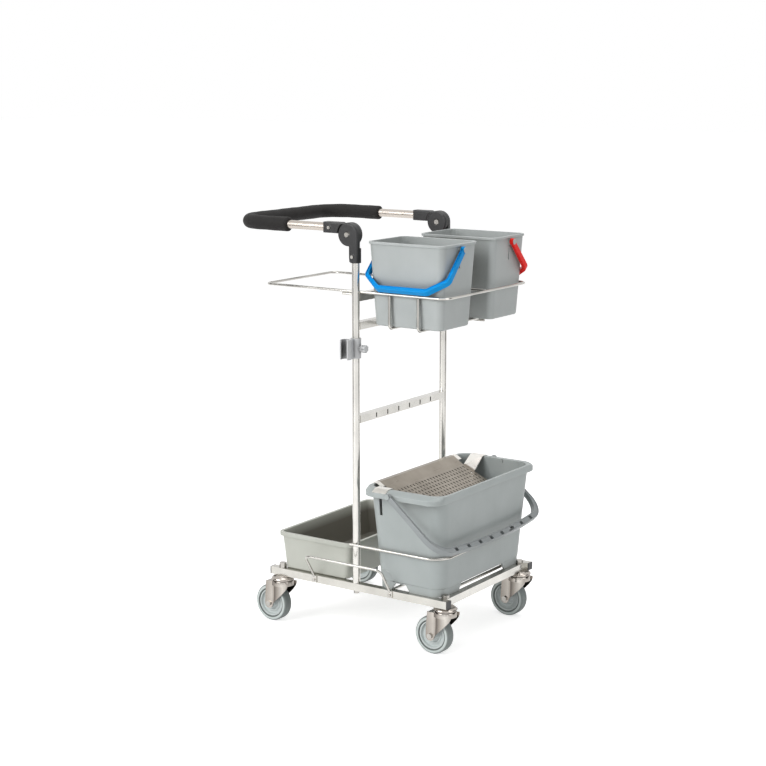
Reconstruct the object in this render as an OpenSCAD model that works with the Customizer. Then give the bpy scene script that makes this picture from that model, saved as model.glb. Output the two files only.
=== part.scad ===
// Double mop bucket trolley: a wire and tube push trolley on four castors that carries
// a large bucket with a wringing sieve, a tray, two small buckets and a bag ring.
// The origin is on the floor below the middle of the whole trolley. +X is the front.

/* [Base frame] */
// Length of each side rail with its end caps
rail_length = 560; // [540:2:580]
// Middle of the side rails along the length
rail_mid_x = 47; // [45:1:49]
// Outside width of the square tube
tube_size = 20; // [19:0.5:21]
// Wall of the square tube
tube_wall = 1.5; // [1:0.25:2]
// Centre distance of the side rails and of the posts
rail_pitch = 412; // [410:1:416]
// Height of the rail undersides
rail_base_z = 130; // [129:0.5:132]
// Flange thickness of a rail end cap
cap_flange = 3; // [2:0.5:4]
// Depth of an end cap's plug in the tube
cap_plug = 15; // [10:1:20]
// Distance of the front cross rail from the front ends of the side rails
front_rail_inset = 23; // [21:1:25]
// Distance of the rear castors from the rear ends of the side rails
rear_castor_inset = 35; // [34:1:38]
// Distance between the two front castors
front_castor_pitch = 374; // [360:2:376]
// Diameter of the rest rods between the rails
rod_d = 8; // [6:1:10]

/* [Posts and bars] */
// Posts along the length
post_x = 43; // [42:0.5:44]
// Outside diameter of a post
post_d = 20; // [19:0.5:20]
// Wall of a post
post_wall = 1.5; // [1:0.25:2]
// Distance of the post tops below the handle's pivot
post_drop = 37; // [35:1:40]
// Height of the middle of the slotted accessory rail
accessory_z = 583; // [560:1:620]
// Distance between the slots of the accessory rail
slot_pitch = 51.4; // [45:0.2:54]
// Distance of the upper carrier bar's middle below the post tops
upper_bar_drop = 121; // [120:0.5:122]
// Distance between the middles of the two carrier bars
carrier_pitch = 73; // [71:0.5:75]

/* [Wire work] */
// Diameter of the basket, guard and bag wires
wire_d = 7; // [6:0.5:7]
// Front of the basket ring
basket_front_x = 307; // [305:1:312]
// Half width of the basket ring
basket_half_y = 201; // [200.5:0.25:202]
// Bend radius of the basket ring
basket_bend = 25; // [20:1:30]
// Places of the two cradle wires along the length
cradle_x = [142, 227]; // [138:1:230]
// Rear end of the bag ring
bag_rear_x = -286; // [-300:1:-270]
// Half width of the bag ring
bag_half_y = 152; // [140:1:165]
// Height of the bag ring above the middle of the upper carrier bar
bag_rise = 5.5; // [5:0.25:6]
// Distance of the guard ring's front behind the front of the large bucket's rim
guard_inset = 7; // [3:0.5:8]
// Height of the guard ring
guard_z = 254; // [246:1:258]
// Ends of a side guard along the length
side_guard_x = [-86, 154]; // [-120:1:180]
// Height of a side guard's top wire
side_guard_z = 213; // [205:1:220]
// Lean of a side guard away from the rail, in degrees
side_guard_lean = 33; // [25:1:36]

/* [Push handle] */
// Diameter of the handle tube
handle_d = 22; // [21:0.5:22]
// Wall of the handle tube
handle_wall = 1.5; // [1:0.25:2]
// Height of the handle tube's axis
handle_z = 1070; // [1069:0.5:1071]
// Bend radius of the handle
handle_bend = 72; // [60:1:72]
// Outside diameter of the foam grip
grip_d = 38; // [34:1:40]
// Front ends of the foam grip
grip_end_x = -165; // [-166:1:-120]
// Pivot of the handle along the length
pivot_x = 27; // [26.5:0.25:27.5]
// Distance of the handle's pivot below the axis of its tube
pivot_drop = 15; // [14:0.25:15.5]
// Diameter of a hinge disc
hinge_d = 60; // [56:1:60]
// Width of a hinge across both discs
hinge_width = 26; // [24:1:28]

/* [Castors] */
// Diameter of a wheel
wheel_d = 100; // [96:1:100]
// Width of a tyre
tyre_width = 30; // [26:1:31]
// Distance of an axle behind its swivel axis
trail = 32; // [30:1:34]
// Outside width of a fork
fork_width = 44; // [43:0.5:46]
// Diameter of a swivel head
head_d = 62; // [58:1:64]

/* [Small buckets] */
// Middle of the small buckets along the length
small_x = 187; // [186:0.5:188]
// Distance between the two small buckets
small_pitch = 240; // [239:0.5:241]
// Rim size along and across
small_rim = [230, 168]; // [166:1:231]
// Bottom size along and across
small_foot = [200, 140]; // [136:1:204]
// Height of the bottoms above the middle of the lower carrier bar
small_base_rise = 4; // [3:0.5:5]
// Height of a bucket
small_height = 212; // [202:1:222]
// Wall of the buckets and the tray
shell_wall = 3; // [2.5:0.25:3.5]
// Angle of the hanging bails below level, in degrees
small_bail_droop = 47; // [40:1:50]
// Reach of a bail from its pivot to the grip
small_bail_reach = 137; // [130:1:140]

/* [Large bucket] */
// Middle of the large bucket along the length
large_x = 203; // [202.5:0.25:203.5]
// Rim size along and across, with the lip
large_rim = [232, 506]; // [231:1:507]
// Wall size along and across, just below the rim
large_top = [224, 456]; // [222:1:458]
// Foot size along and across
large_foot = [192, 408]; // [188:1:410]
// Height of the rim
large_rim_z = 420; // [416:1:424]
// Distance of the bail's pivot behind the middle of the bucket
large_pivot_back = 26; // [25:0.5:27]
// Distance of the bail's pivot below the rim
large_pivot_drop = 11; // [10:0.5:12]
// Angle of the hanging bail below level, in degrees
large_bail_droop = 40; // [36:1:44]
// Reach of the bail from its pivot to the middle of the grip
large_bail_reach = 213; // [205:1:216]

/* [Tray] */
// Middle of the tray along the length
tray_x = -92; // [-93:0.5:-91]
// Rim size along and across
tray_rim = [242, 422]; // [240:1:424]
// Foot size along and across
tray_foot = [205, 404]; // [200:1:406]
// Height of the tray's rim
tray_rim_z = 249; // [240:1:255]

/* [Hidden] */
$fn = 48;

// Fits and gaps
seat_gap = 0.3;
slip_gap = 0.15;
running_gap = 0.05;
through = 1;

// Colours
steel = "gainsboro";
bright_steel = "whitesmoke";
black_plastic = "#1c1c1e";
grey_plastic = "#b7bbba";
dark_grey = "#787d82";

// Places that follow from the sizes above
rail_y = rail_pitch / 2;
rail_top_z = rail_base_z + tube_size;
rail_mid_z = rail_base_z + tube_size / 2;
rail_inner_y = rail_y - tube_size / 2;
rail_outer_y = rail_y + tube_size / 2;
wire_r = wire_d / 2;
post_r = post_d / 2;
bar_front_x = post_x + tube_size / 2;
bar_rear_x = post_x - tube_size / 2;
front_rail_x = rail_mid_x + rail_length / 2 - front_rail_inset;
rear_castor_x = rail_mid_x - rail_length / 2 + rear_castor_inset;
pivot_z = handle_z - pivot_drop;
post_top_z = pivot_z - post_drop;
upper_bar_z = post_top_z - upper_bar_drop;
lower_bar_z = upper_bar_z - carrier_pitch;
bag_z = upper_bar_z + bag_rise;
small_base_z = lower_bar_z + small_base_rise;
small_rim_z = small_base_z + small_height;
large_pivot_x = large_x - large_pivot_back;
large_pivot_z = large_rim_z - large_pivot_drop;
guard_front_x = large_x + large_rim.x / 2 - guard_inset;
basket_z = upper_bar_z + tube_size / 2 + seat_gap + wire_r;
cradle_z = small_base_z - seat_gap - wire_r;
rest_rod_x = [
    tray_x - tray_foot.x / 4, tray_x + tray_foot.x / 4 + 8,
    large_x - large_foot.x / 4 - 18, large_x + large_foot.x / 4 + 10
];
castor_places = [
    [front_rail_x, -front_castor_pitch / 2],
    [front_rail_x, front_castor_pitch / 2],
    [rear_castor_x, -rail_y],
    [rear_castor_x, rail_y]
];
front_near = castor_places[0];
front_far = castor_places[1];
rear_near = castor_places[2];
rear_far = castor_places[3];

// Bolts, nuts and pins
stem_r = 5;
post_bolt_r = 4;
pivot_bolt_r = 4;
axle_r = 4;
screw_r = 2;
screw_head_r = 4.2;
screw_head_h = 2.6;
nut_r = 17 / 2 / cos(30);
small_nut_r = 13 / 2 / cos(30);

// Straight round bar along X
module round_bar(length, r) {
    rotate([0, 90, 0])
        cylinder(h = length, r = r);
}

// Direction of a leg, turn at a corner and length that a corner's bend takes from a leg
function heading(a, b) = atan2(b.y - a.y, b.x - a.x);
function wrapped(angle) = angle > 180 ? angle - 360 : angle < -180 ? angle + 360 : angle;
function turn(pts, i) = wrapped(heading(pts[i], pts[i + 1]) - heading(pts[i - 1], pts[i]));
function bend_cut(pts, i, bend) =
    i == 0 || i == len(pts) - 1 ? 0 : bend * tan(abs(turn(pts, i)) / 2);

// Wire bent in the XY plane: straight legs joined by round bends
module bent_wire(pts, bend, r) {
    for (i = [0 : len(pts) - 2]) {
        lead = bend_cut(pts, i, bend);
        tail = bend_cut(pts, i + 1, bend);
        translate(pts[i])
            rotate([0, 0, heading(pts[i], pts[i + 1])])
                translate([lead, 0, 0])
                    round_bar(norm(pts[i + 1] - pts[i]) - lead - tail, r);
    }
    for (i = [1 : len(pts) - 2]) {
        angle = turn(pts, i);
        translate(pts[i])
            rotate([0, 0, heading(pts[i - 1], pts[i])])
                translate([-bend_cut(pts, i, bend), sign(angle) * bend, 0])
                    rotate([0, 0, angle > 0 ? -90 : 90 + angle])
                        rotate_extrude(angle = abs(angle))
                            translate([bend, 0])
                                circle(r = r);
    }
}

// Outline of a strip along a line of points, with one width or a width for each point
function unit(v) = v / norm(v);
function edge_normal(pts, i) = let (u = unit(pts[i + 1] - pts[i])) [-u.y, u.x];
function mitre(pts, i) =
    let (n1 = edge_normal(pts, max(i - 1, 0)), n2 = edge_normal(pts, min(i, len(pts) - 2)))
    (n1 + n2) / (1 + n1 * n2);
function half_at(w, i) = (is_list(w) ? w[i] : w) / 2;
function strip(pts, w) = concat(
    [for (i = [0 : len(pts) - 1]) pts[i] + mitre(pts, i) * half_at(w, i)],
    [for (i = [len(pts) - 1 : -1 : 0]) pts[i] - mitre(pts, i) * half_at(w, i)]
);

// Rectangle with round corners
module rounded_rect(size, r) {
    square([size.x - 2 * r, size.y], center = true);
    square([size.x, size.y - 2 * r], center = true);
    for (sx = [-1, 1], sy = [-1, 1])
        translate([sx * (size.x / 2 - r), sy * (size.y / 2 - r)])
            circle(r = r);
}

// Slab with round corners that stands on the height z
module slab(size, r, z, h) {
    translate([0, 0, z])
        linear_extrude(h)
            rounded_rect(size, r);
}

// Moulded block that widens from its bottom to its top
module tapered_block(bottom, top, r_bottom, r_top, z0, z1) {
    edge_h = 1;
    hull() {
        slab(bottom, r_bottom, z0, edge_h, $fn = 32);
        slab(top, r_top, z1 - edge_h, edge_h, $fn = 32);
    }
}

// Hexagon nut or bolt head, flats facing along X
module hex_prism(r, h) {
    rotate([0, 0, 30])
        cylinder(h = h, r = r, $fn = 6);
}

// Turn a piece built upwards so that it points along -Y
module point_near() {
    rotate([90, 0, 0]) children();
}

// Repeat a near piece on the far side
module both_sides() {
    children();
    mirror([0, 1, 0]) children();
}

// Square tube along X, open at both ends
module square_tube(length) {
    inside = tube_size - 2 * tube_wall;
    difference() {
        translate([0, -tube_size / 2, -tube_size / 2])
            cube([length, tube_size, tube_size]);
        translate([-through, -inside / 2, -inside / 2])
            cube([length + 2 * through, inside, inside]);
    }
}

// Upright hole through both walls of a rail
module rail_hole(place, r) {
    translate([place.x, place.y, rail_base_z - through])
        cylinder(h = tube_size + 2 * through, r = r);
}

module side_rail(y) {
    tube_length = rail_length - 2 * cap_flange;
    color(steel)
        difference() {
            translate([rail_mid_x - tube_length / 2, y, rail_mid_z])
                square_tube(tube_length);
            rail_hole([rear_castor_x, y], stem_r + slip_gap);
            rail_hole([post_x, y], post_bolt_r + slip_gap);
        }
}

module rail_end_caps() {
    plug = tube_size - 2 * tube_wall - 2 * slip_gap;
    color(black_plastic)
        both_sides()
            for (end = [-1, 1])
                translate([rail_mid_x, -rail_y, rail_mid_z])
                    mirror([end < 0 ? 1 : 0, 0, 0])
                        translate([rail_length / 2 - cap_flange, 0, 0]) {
                            translate([0, -tube_size / 2, -tube_size / 2])
                                cube([cap_flange, tube_size, tube_size]);
                            translate([-cap_plug, -plug / 2, -plug / 2])
                                cube([cap_plug + cap_flange / 2, plug, plug]);
                        }
}

// Cross rail between the side rails
module cross_rail(x) {
    translate([x, -rail_inner_y, rail_mid_z])
        rotate([0, 0, 90])
            square_tube(2 * rail_inner_y);
}

module front_cross_rail() {
    color(steel)
        difference() {
            cross_rail(front_rail_x);
            rail_hole(front_near, stem_r + slip_gap);
            rail_hole(front_far, stem_r + slip_gap);
        }
}

module rear_cross_rail() {
    color(steel) cross_rail(rear_castor_x);
}

module rest_rods() {
    color(bright_steel)
        for (x = rest_rod_x)
            translate([x, -rail_inner_y, rail_mid_z])
                rotate([-90, 0, 0])
                    cylinder(h = 2 * rail_inner_y, d = rod_d);
}

// Round post with a threaded plug in its foot
module post(y) {
    plug_h = 25;
    color(steel)
        translate([post_x, y, rail_top_z])
            difference() {
                cylinder(h = post_top_z - rail_top_z, r = post_r);
                translate([0, 0, plug_h])
                    cylinder(h = post_top_z, r = post_r - post_wall);
                translate([0, 0, -through])
                    cylinder(h = plug_h + 2 * through, r = post_bolt_r + slip_gap);
            }
}

module post_bolts() {
    head_h = 8;
    grip_in_post = 20;
    color(steel)
        both_sides()
            translate([post_x, -rail_y, rail_base_z - head_h]) {
                hex_prism(small_nut_r, head_h);
                cylinder(h = head_h + tube_size + grip_in_post, r = post_bolt_r);
            }
}

// Square bar between the posts, its ends coped to sit against them
module carrier_bar(z) {
    bar_half_y = rail_y - 6;
    difference() {
        translate([post_x, -bar_half_y, z])
            rotate([0, 0, 90])
                square_tube(2 * bar_half_y);
        both_sides()
            translate([post_x, -rail_y, z - tube_size])
                cylinder(h = 2 * tube_size, r = post_r + slip_gap);
    }
}

module accessory_rail() {
    slot_w = 5;
    slot_h = 12;
    color(steel)
        difference() {
            carrier_bar(accessory_z);
            for (i = [-2.5 : 1 : 2.5])
                translate([post_x, i * slot_pitch - slot_w / 2, accessory_z - slot_h / 2])
                    cube([tube_size, slot_w, slot_h]);
        }
}

module upper_carrier_bar() {
    color(steel) carrier_bar(upper_bar_z);
}

module lower_carrier_bar() {
    color(steel) carrier_bar(lower_bar_z);
}

// Basket ring that starts and ends against the posts
module basket_ring() {
    start_x = post_x + post_r + seat_gap;
    color(bright_steel)
        translate([0, 0, basket_z])
            bent_wire([
                [start_x, -basket_half_y], [basket_front_x, -basket_half_y],
                [basket_front_x, basket_half_y], [start_x, basket_half_y]
            ], basket_bend, wire_r);
}

module basket_divider() {
    front = basket_front_x - wire_r - seat_gap;
    color(bright_steel)
        translate([bar_rear_x, 0, basket_z])
            round_bar(front - bar_rear_x, wire_r);
}

// U wires that hang from the ring and carry the small buckets
module basket_cradle_wires() {
    cradle_bend = 11;
    top_z = basket_z - wire_r - seat_gap;
    color(bright_steel)
        for (x = cradle_x)
            translate([x, 0, 0])
                rotate([90, 0, 90])
                    bent_wire([
                        [-basket_half_y, top_z], [-basket_half_y, cradle_z],
                        [basket_half_y, cradle_z], [basket_half_y, top_z]
                    ], cradle_bend, wire_r);
}

// Straight wires from the lower carrier bar under the cradle wires
module basket_stays() {
    stay_y = 100;
    past_cradle = 10;
    color(bright_steel)
        both_sides()
            translate([bar_front_x, -stay_y, cradle_z - wire_d - seat_gap])
                round_bar(cradle_x[1] + past_cradle - bar_front_x, wire_r);
}

module bag_ring() {
    bag_bend = 18;
    color(bright_steel)
        translate([0, 0, bag_z])
            bent_wire([
                [bar_rear_x, -bag_half_y], [bag_rear_x, -bag_half_y],
                [bag_rear_x, bag_half_y], [bar_rear_x, bag_half_y]
            ], bag_bend, wire_r);
}

// Short wires that stiffen the arms of the bag ring
module bag_ring_stays() {
    stay_length = 70;
    color(bright_steel)
        both_sides()
            translate([bar_rear_x - stay_length, -bag_half_y, bag_z - wire_d - seat_gap])
                round_bar(stay_length, wire_r);
}

// Wire from post to post round the front of the large bucket
module bucket_guard_ring() {
    guard_bend = 50;
    guard_y = rail_y + post_r + wire_r + seat_gap;
    color(bright_steel)
        translate([0, 0, guard_z])
            bent_wire([
                [post_x - post_r, -guard_y], [guard_front_x, -guard_y],
                [guard_front_x, guard_y], [post_x - post_r, guard_y]
            ], guard_bend, wire_r);
}

// Feet of a side guard on the outer face of its rail
foot_tab = [16, 3, 18];
foot_hole_r = screw_r + slip_gap;

// Wire loop that leans out over the near rail, on two screwed feet
module side_guard() {
    guard_bend = 18;
    root = 6;
    root_y = -rail_outer_y - foot_tab.y / 2;
    rise = (side_guard_z - rail_top_z) / cos(side_guard_lean);
    color(bright_steel)
        difference() {
            union() {
                translate([0, root_y, rail_top_z])
                    rotate([90 + side_guard_lean, 0, 0])
                        bent_wire([
                            [side_guard_x[0], -root], [side_guard_x[0], rise],
                            [side_guard_x[1], rise], [side_guard_x[1], -root]
                        ], guard_bend, wire_r);
                for (x = side_guard_x)
                    translate([x - foot_tab.x / 2, -rail_outer_y - foot_tab.y, rail_top_z - foot_tab.z])
                        cube(foot_tab);
            }
            guard_screw_places()
                point_near()
                    cylinder(h = 4 * foot_tab.y, r = foot_hole_r, center = true);
            translate([side_guard_x[0] - tube_size, -rail_outer_y, rail_base_z])
                cube([side_guard_x[1] - side_guard_x[0] + 2 * tube_size, tube_size, 2 * tube_size]);
        }
}

// Middle of each foot tab's outer face on the near side
module guard_screw_places() {
    for (x = side_guard_x)
        translate([x, -rail_outer_y - foot_tab.y, rail_top_z - foot_tab.z * 0.65])
            children();
}

module guard_screws() {
    color(steel)
        both_sides()
            guard_screw_places() {
                point_near() cylinder(h = screw_head_h, r = screw_head_r);
                point_near() mirror([0, 0, 1]) cylinder(h = foot_tab.y, r = screw_r);
            }
}

// Half of the hinge: a disc with a chamfered outer edge, its flat face at z = 0
half_hinge = hinge_width / 2;
hinge_r = hinge_d / 2;
module hinge_disc(bore) {
    edge = 4;
    rotate_extrude()
        polygon([
            [bore, 0], [hinge_r, 0], [hinge_r, half_hinge - edge],
            [hinge_r - edge, half_hinge], [bore, half_hinge]
        ]);
}

sleeve_wall = 4;
pad_r = 7;
pad_h = 1.5;
disc_gap = 0.2;
post_sleeve_r = post_r + sleeve_wall;
arm_sleeve_r = handle_d / 2 + 3;

// Where the screw of the near post socket enters, on its outer side
module post_screw_place() {
    translate([post_x, -rail_y - post_sleeve_r - pad_h, post_top_z - 18])
        children();
}

// Where the screw of the near arm socket enters, on its outer side
module arm_screw_place() {
    translate([pivot_x - 56, -rail_y - arm_sleeve_r - pad_h, handle_z])
        children();
}

// Screw whose head bears on a flat pad and whose tip stops short of the tube inside
module set_screw(length) {
    point_near() cylinder(h = screw_head_h, r = screw_head_r);
    point_near() mirror([0, 0, 1]) cylinder(h = length, r = screw_r);
}

// Socket on a post's top with the inner half of the hinge
module hinge_post_socket() {
    socket_base_z = post_top_z - 34;
    sleeve_top_z = post_top_z + 3;
    nut_depth = 6;
    web_x = post_x - post_sleeve_r;
    color(black_plastic)
        difference() {
            union() {
                translate([post_x, -rail_y, socket_base_z])
                    cylinder(h = sleeve_top_z - socket_base_z, r = post_sleeve_r);
                translate([pivot_x, -rail_y + disc_gap, pivot_z])
                    rotate([-90, 0, 0])
                        hinge_disc(pivot_bolt_r + running_gap);
                translate([web_x, -rail_y + disc_gap, sleeve_top_z - sleeve_wall])
                    cube([2 * post_sleeve_r, half_hinge - disc_gap, pivot_z - sleeve_top_z]);
                post_screw_place()
                    rotate([-90, 0, 0])
                        cylinder(h = sleeve_wall, r = pad_r);
            }
            translate([post_x, -rail_y, socket_base_z - through])
                cylinder(h = post_top_z - socket_base_z + through, r = post_r + slip_gap);
            post_screw_place()
                rotate([-90, 0, 0])
                    translate([0, 0, -through])
                        cylinder(h = 3 * sleeve_wall, r = screw_r + slip_gap);
            translate([pivot_x, -rail_y + half_hinge - nut_depth + disc_gap, pivot_z])
                rotate([-90, 0, 0])
                    hex_prism(small_nut_r + seat_gap, nut_depth + through);
            translate([pivot_x, -rail_y - half_hinge, pivot_z])
                rotate([-90, 0, 0])
                    cylinder(h = hinge_width, r = pivot_bolt_r + running_gap);
        }
}

// Socket on a handle arm with the outer half of the hinge
module hinge_arm() {
    sleeve_length = 43;
    sleeve_end_x = pivot_x - hinge_r - 3;
    web_h = 2 * arm_sleeve_r - 2;
    tube_stop = 3;
    color(black_plastic)
        difference() {
            union() {
                translate([sleeve_end_x - sleeve_length, -rail_y, handle_z])
                    round_bar(sleeve_length, arm_sleeve_r);
                translate([pivot_x, -rail_y - disc_gap, pivot_z])
                    point_near()
                        hinge_disc(pivot_bolt_r + running_gap);
                translate([sleeve_end_x - tube_stop, -rail_y - half_hinge, handle_z - web_h / 2])
                    cube([hinge_r, half_hinge - disc_gap, web_h]);
                arm_screw_place()
                    rotate([-90, 0, 0])
                        cylinder(h = sleeve_wall, r = pad_r);
            }
            translate([sleeve_end_x - sleeve_length - through, -rail_y, handle_z])
                round_bar(sleeve_length + through - tube_stop, handle_d / 2 + slip_gap);
            arm_screw_place()
                rotate([-90, 0, 0])
                    translate([0, 0, -through])
                        cylinder(h = 3 * sleeve_wall, r = screw_r + slip_gap);
            translate([pivot_x, -rail_y, pivot_z])
                point_near()
                    cylinder(h = hinge_width, r = pivot_bolt_r + running_gap);
        }
}

// Bolt through both halves of a hinge, with its nut
module hinge_pivot_bolts() {
    head_r = 8;
    head_h = 5;
    nut_h = 5.5;
    outer_y = -rail_y - half_hinge - disc_gap - seat_gap;
    bolt_length = hinge_width + disc_gap + seat_gap;
    color(steel)
        both_sides()
            translate([pivot_x, outer_y, pivot_z]) {
                point_near() cylinder(h = head_h, r1 = head_r, r2 = head_r - 2);
                rotate([-90, 0, 0]) cylinder(h = bolt_length, r = pivot_bolt_r);
                translate([0, bolt_length - nut_h, 0])
                    rotate([-90, 0, 0]) hex_prism(small_nut_r, nut_h);
            }
}

module hinge_screws() {
    color(steel)
        both_sides()
            post_screw_place() set_screw(pad_h + sleeve_wall - seat_gap);
}

module arm_screws() {
    color(steel)
        both_sides()
            arm_screw_place() set_screw(pad_h + arm_sleeve_r - handle_d / 2 - seat_gap);
}

// Reach of the hanging bail in front, matched by the handle behind
large_bail_w = 16;
large_bail_t = 14;
front_reach = large_pivot_x + (large_bail_reach + large_bail_w / 2) * cos(large_bail_droop)
    + large_bail_t / 2 * sin(large_bail_droop);
handle_rear_x = grip_d / 2 - front_reach;

function handle_path(front_x) = [
    [front_x, -rail_y], [handle_rear_x, -rail_y], [handle_rear_x, rail_y], [front_x, rail_y]
];

module handle_tube() {
    tube_front_x = pivot_x - hinge_r - 7;
    color(steel)
        translate([0, 0, handle_z])
            difference() {
                bent_wire(handle_path(tube_front_x), handle_bend, handle_d / 2);
                bent_wire(handle_path(tube_front_x + through), handle_bend, handle_d / 2 - handle_wall);
            }
}

module handle_grip() {
    color(black_plastic)
        translate([0, 0, handle_z])
            difference() {
                bent_wire(handle_path(grip_end_x), handle_bend, grip_d / 2);
                bent_wire(handle_path(grip_end_x + through), handle_bend, handle_d / 2 + slip_gap);
            }
}

// Tool clip on the near post
clip_z = [lower_bar_z - 82, lower_bar_z - 31];
clip_h = clip_z[1] - clip_z[0];
clip_wall = 3.5;
jaw_r = 11;
jaw_place = [post_x - 7, -rail_y - 34];
knob_z = (clip_z[0] + clip_z[1]) / 2;
knob_boss_r = 8;
knob_stud_r = 3;
knob_boss_x = post_x + post_r + 10;

module tool_clip() {
    jaw_gap = 110;
    lip_r = 2.4;
    link = [12, 9];
    color(dark_grey)
        difference() {
            union() {
                translate([post_x, -rail_y, clip_z[0]])
                    cylinder(h = clip_h, r = post_r + clip_wall + slip_gap);
                translate([jaw_place.x, jaw_place.y, clip_z[0]]) {
                    rotate([0, 0, jaw_gap / 2 - 90])
                        rotate_extrude(angle = 360 - jaw_gap)
                            translate([jaw_r, 0])
                                square([clip_wall, clip_h]);
                    for (side = [-1, 1])
                        rotate([0, 0, side * jaw_gap / 2 - 90])
                            translate([jaw_r + lip_r, 0, 0])
                                cylinder(h = clip_h, r = lip_r);
                }
                translate([jaw_place.x - link.x / 4, jaw_place.y + jaw_r + 1, clip_z[0]])
                    cube([link.x, link.y, clip_h]);
                translate([post_x + post_r + 1, -rail_y, knob_z])
                    round_bar(knob_boss_x - post_x - post_r - 1, knob_boss_r);
            }
            translate([post_x, -rail_y, clip_z[0] - through])
                cylinder(h = clip_h + 2 * through, r = post_r + slip_gap);
            translate([post_x, -rail_y, knob_z])
                round_bar(2 * tube_size, knob_stud_r + running_gap);
        }
}

module clip_knob() {
    knob_r = 10;
    knob_length = 12;
    flutes = 6;
    tip_x = post_x + post_r + seat_gap;
    color(dark_grey)
        translate([knob_boss_x + seat_gap, -rail_y, knob_z])
            difference() {
                union() {
                    round_bar(knob_length, knob_r);
                    translate([tip_x - knob_boss_x - seat_gap, 0, 0])
                        round_bar(knob_boss_x + through - tip_x, knob_stud_r);
                }
                for (i = [0 : flutes - 1])
                    rotate([i * 360 / flutes, 0, 0])
                        translate([knob_length / 3, knob_r + 1, 0])
                            round_bar(knob_length, 3);
            }
}

// Castors
axle_z = wheel_d / 2;
crown_z = [rail_base_z - 20, rail_base_z - 12.5];
fork_sheet = 3;
hub_half = fork_width / 2 - fork_sheet - 0.4;
tyre_inner_r = wheel_d / 2 - 13;

// Heads fixed under the rails, each with its race, king pin and stem
module castor_heads() {
    race_z = crown_z[1] + 0.5;
    dome_z = rail_base_z - 8;
    rivet_r = 8;
    rivet_h = 3;
    stem_top_z = rail_top_z + 8;
    color(bright_steel)
        for (place = castor_places)
            translate([place.x, place.y, 0]) {
                rotate_extrude()
                    polygon([
                        [0, dome_z - through], [head_d / 2 - 1, dome_z - through], [head_d / 2, dome_z],
                        [head_d / 2 - 1, dome_z + 2], [head_d / 2 - 5, dome_z + 5.5],
                        [head_d / 2 - 10, rail_base_z], [0, rail_base_z]
                    ]);
                translate([0, 0, race_z])
                    cylinder(h = dome_z - race_z, r = head_d / 2 - 4);
                translate([0, 0, crown_z[0] - seat_gap])
                    cylinder(h = stem_top_z - crown_z[0] + seat_gap, r = stem_r);
                translate([0, 0, crown_z[0] - seat_gap - rivet_h])
                    cylinder(h = rivet_h, r = rivet_r);
            }
}

// Low nuts on the front cross rail and tall cap nuts on the side rails
module castor_nuts() {
    low_nut_h = 8;
    cap_nut_h = 14;
    color(steel)
        for (place = castor_places)
            translate([place.x, place.y, rail_top_z])
                difference() {
                    hex_prism(nut_r, place.x > 0 ? low_nut_h : cap_nut_h);
                    translate([0, 0, -through])
                        cylinder(h = low_nut_h + 2 * through, r = stem_r + slip_gap);
                }
}

// Pressed fork: a round crown with a skirt, and two legs that lean back to the axle
module fork(place) {
    crown_r = head_d / 2 - 1;
    skirt_z = crown_z[0] - 7;
    leg_end_r = 13;
    leg_top = crown_r - 5;
    color(bright_steel)
        translate([place.x, place.y, 0])
            difference() {
                union() {
                    translate([0, 0, skirt_z])
                        cylinder(h = crown_z[1] - skirt_z, r = crown_r);
                    for (side = [-1, 1])
                        translate([0, side * (fork_width - fork_sheet) / 2, 0])
                            rotate([90, 0, 0])
                                linear_extrude(fork_sheet, center = true) {
                                    polygon([
                                        [-leg_top, crown_z[0]], [leg_top, crown_z[0]],
                                        [leg_end_r - trail, axle_z - 2], [-leg_end_r - trail, axle_z + 4]
                                    ]);
                                    translate([-trail, axle_z]) circle(r = leg_end_r);
                                }
                }
                translate([0, 0, skirt_z - through])
                    cylinder(h = crown_z[0] - skirt_z + through, r = crown_r - fork_sheet);
                translate([0, 0, crown_z[0] - through])
                    cylinder(h = 2 * tube_size, r = stem_r + running_gap);
                translate([-trail, 0, axle_z])
                    rotate([90, 0, 0])
                        cylinder(h = 2 * fork_width, r = axle_r + slip_gap, center = true);
            }
}

// Axle bolt with its head on the near side and its nut on the far side
module axle(place) {
    head_h = 5;
    color(steel)
        translate([place.x - trail, place.y, axle_z])
            rotate([90, 0, 0]) {
                cylinder(h = fork_width + 2 * through, r = axle_r, center = true);
                both_ends() translate([0, 0, fork_width / 2]) hex_prism(small_nut_r, head_h);
            }
}

module both_ends() {
    children();
    mirror([0, 0, 1]) children();
}

// Wheel centre: boss on the axle, thin web with a raised ring, and the rim under the tyre
module hub(place) {
    boss_r = 11;
    web_half = 6;
    rim_half = tyre_width / 2 - 2;
    rim_r = tyre_inner_r - seat_gap;
    rim_t = 3;
    fillet = 2;
    ring_r = [18, 21, 24, 27];
    ring_h = 3;
    one_face = [
        [axle_r + running_gap, hub_half], [boss_r, hub_half], [boss_r + fillet / 2, web_half + fillet],
        [ring_r[0], web_half], [ring_r[1], web_half + ring_h],
        [ring_r[2], web_half + ring_h], [ring_r[3], web_half],
        [rim_r - rim_t - fillet, web_half], [rim_r - rim_t, rim_half], [rim_r, rim_half]
    ];
    last = len(one_face) - 1;
    color("#d7e1e1")
        translate([place.x - trail, place.y, axle_z])
            rotate([90, 0, 0])
                rotate_extrude()
                    polygon(concat(one_face, [for (i = [last : -1 : 0]) [one_face[i].x, -one_face[i].y]]));
}

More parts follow.
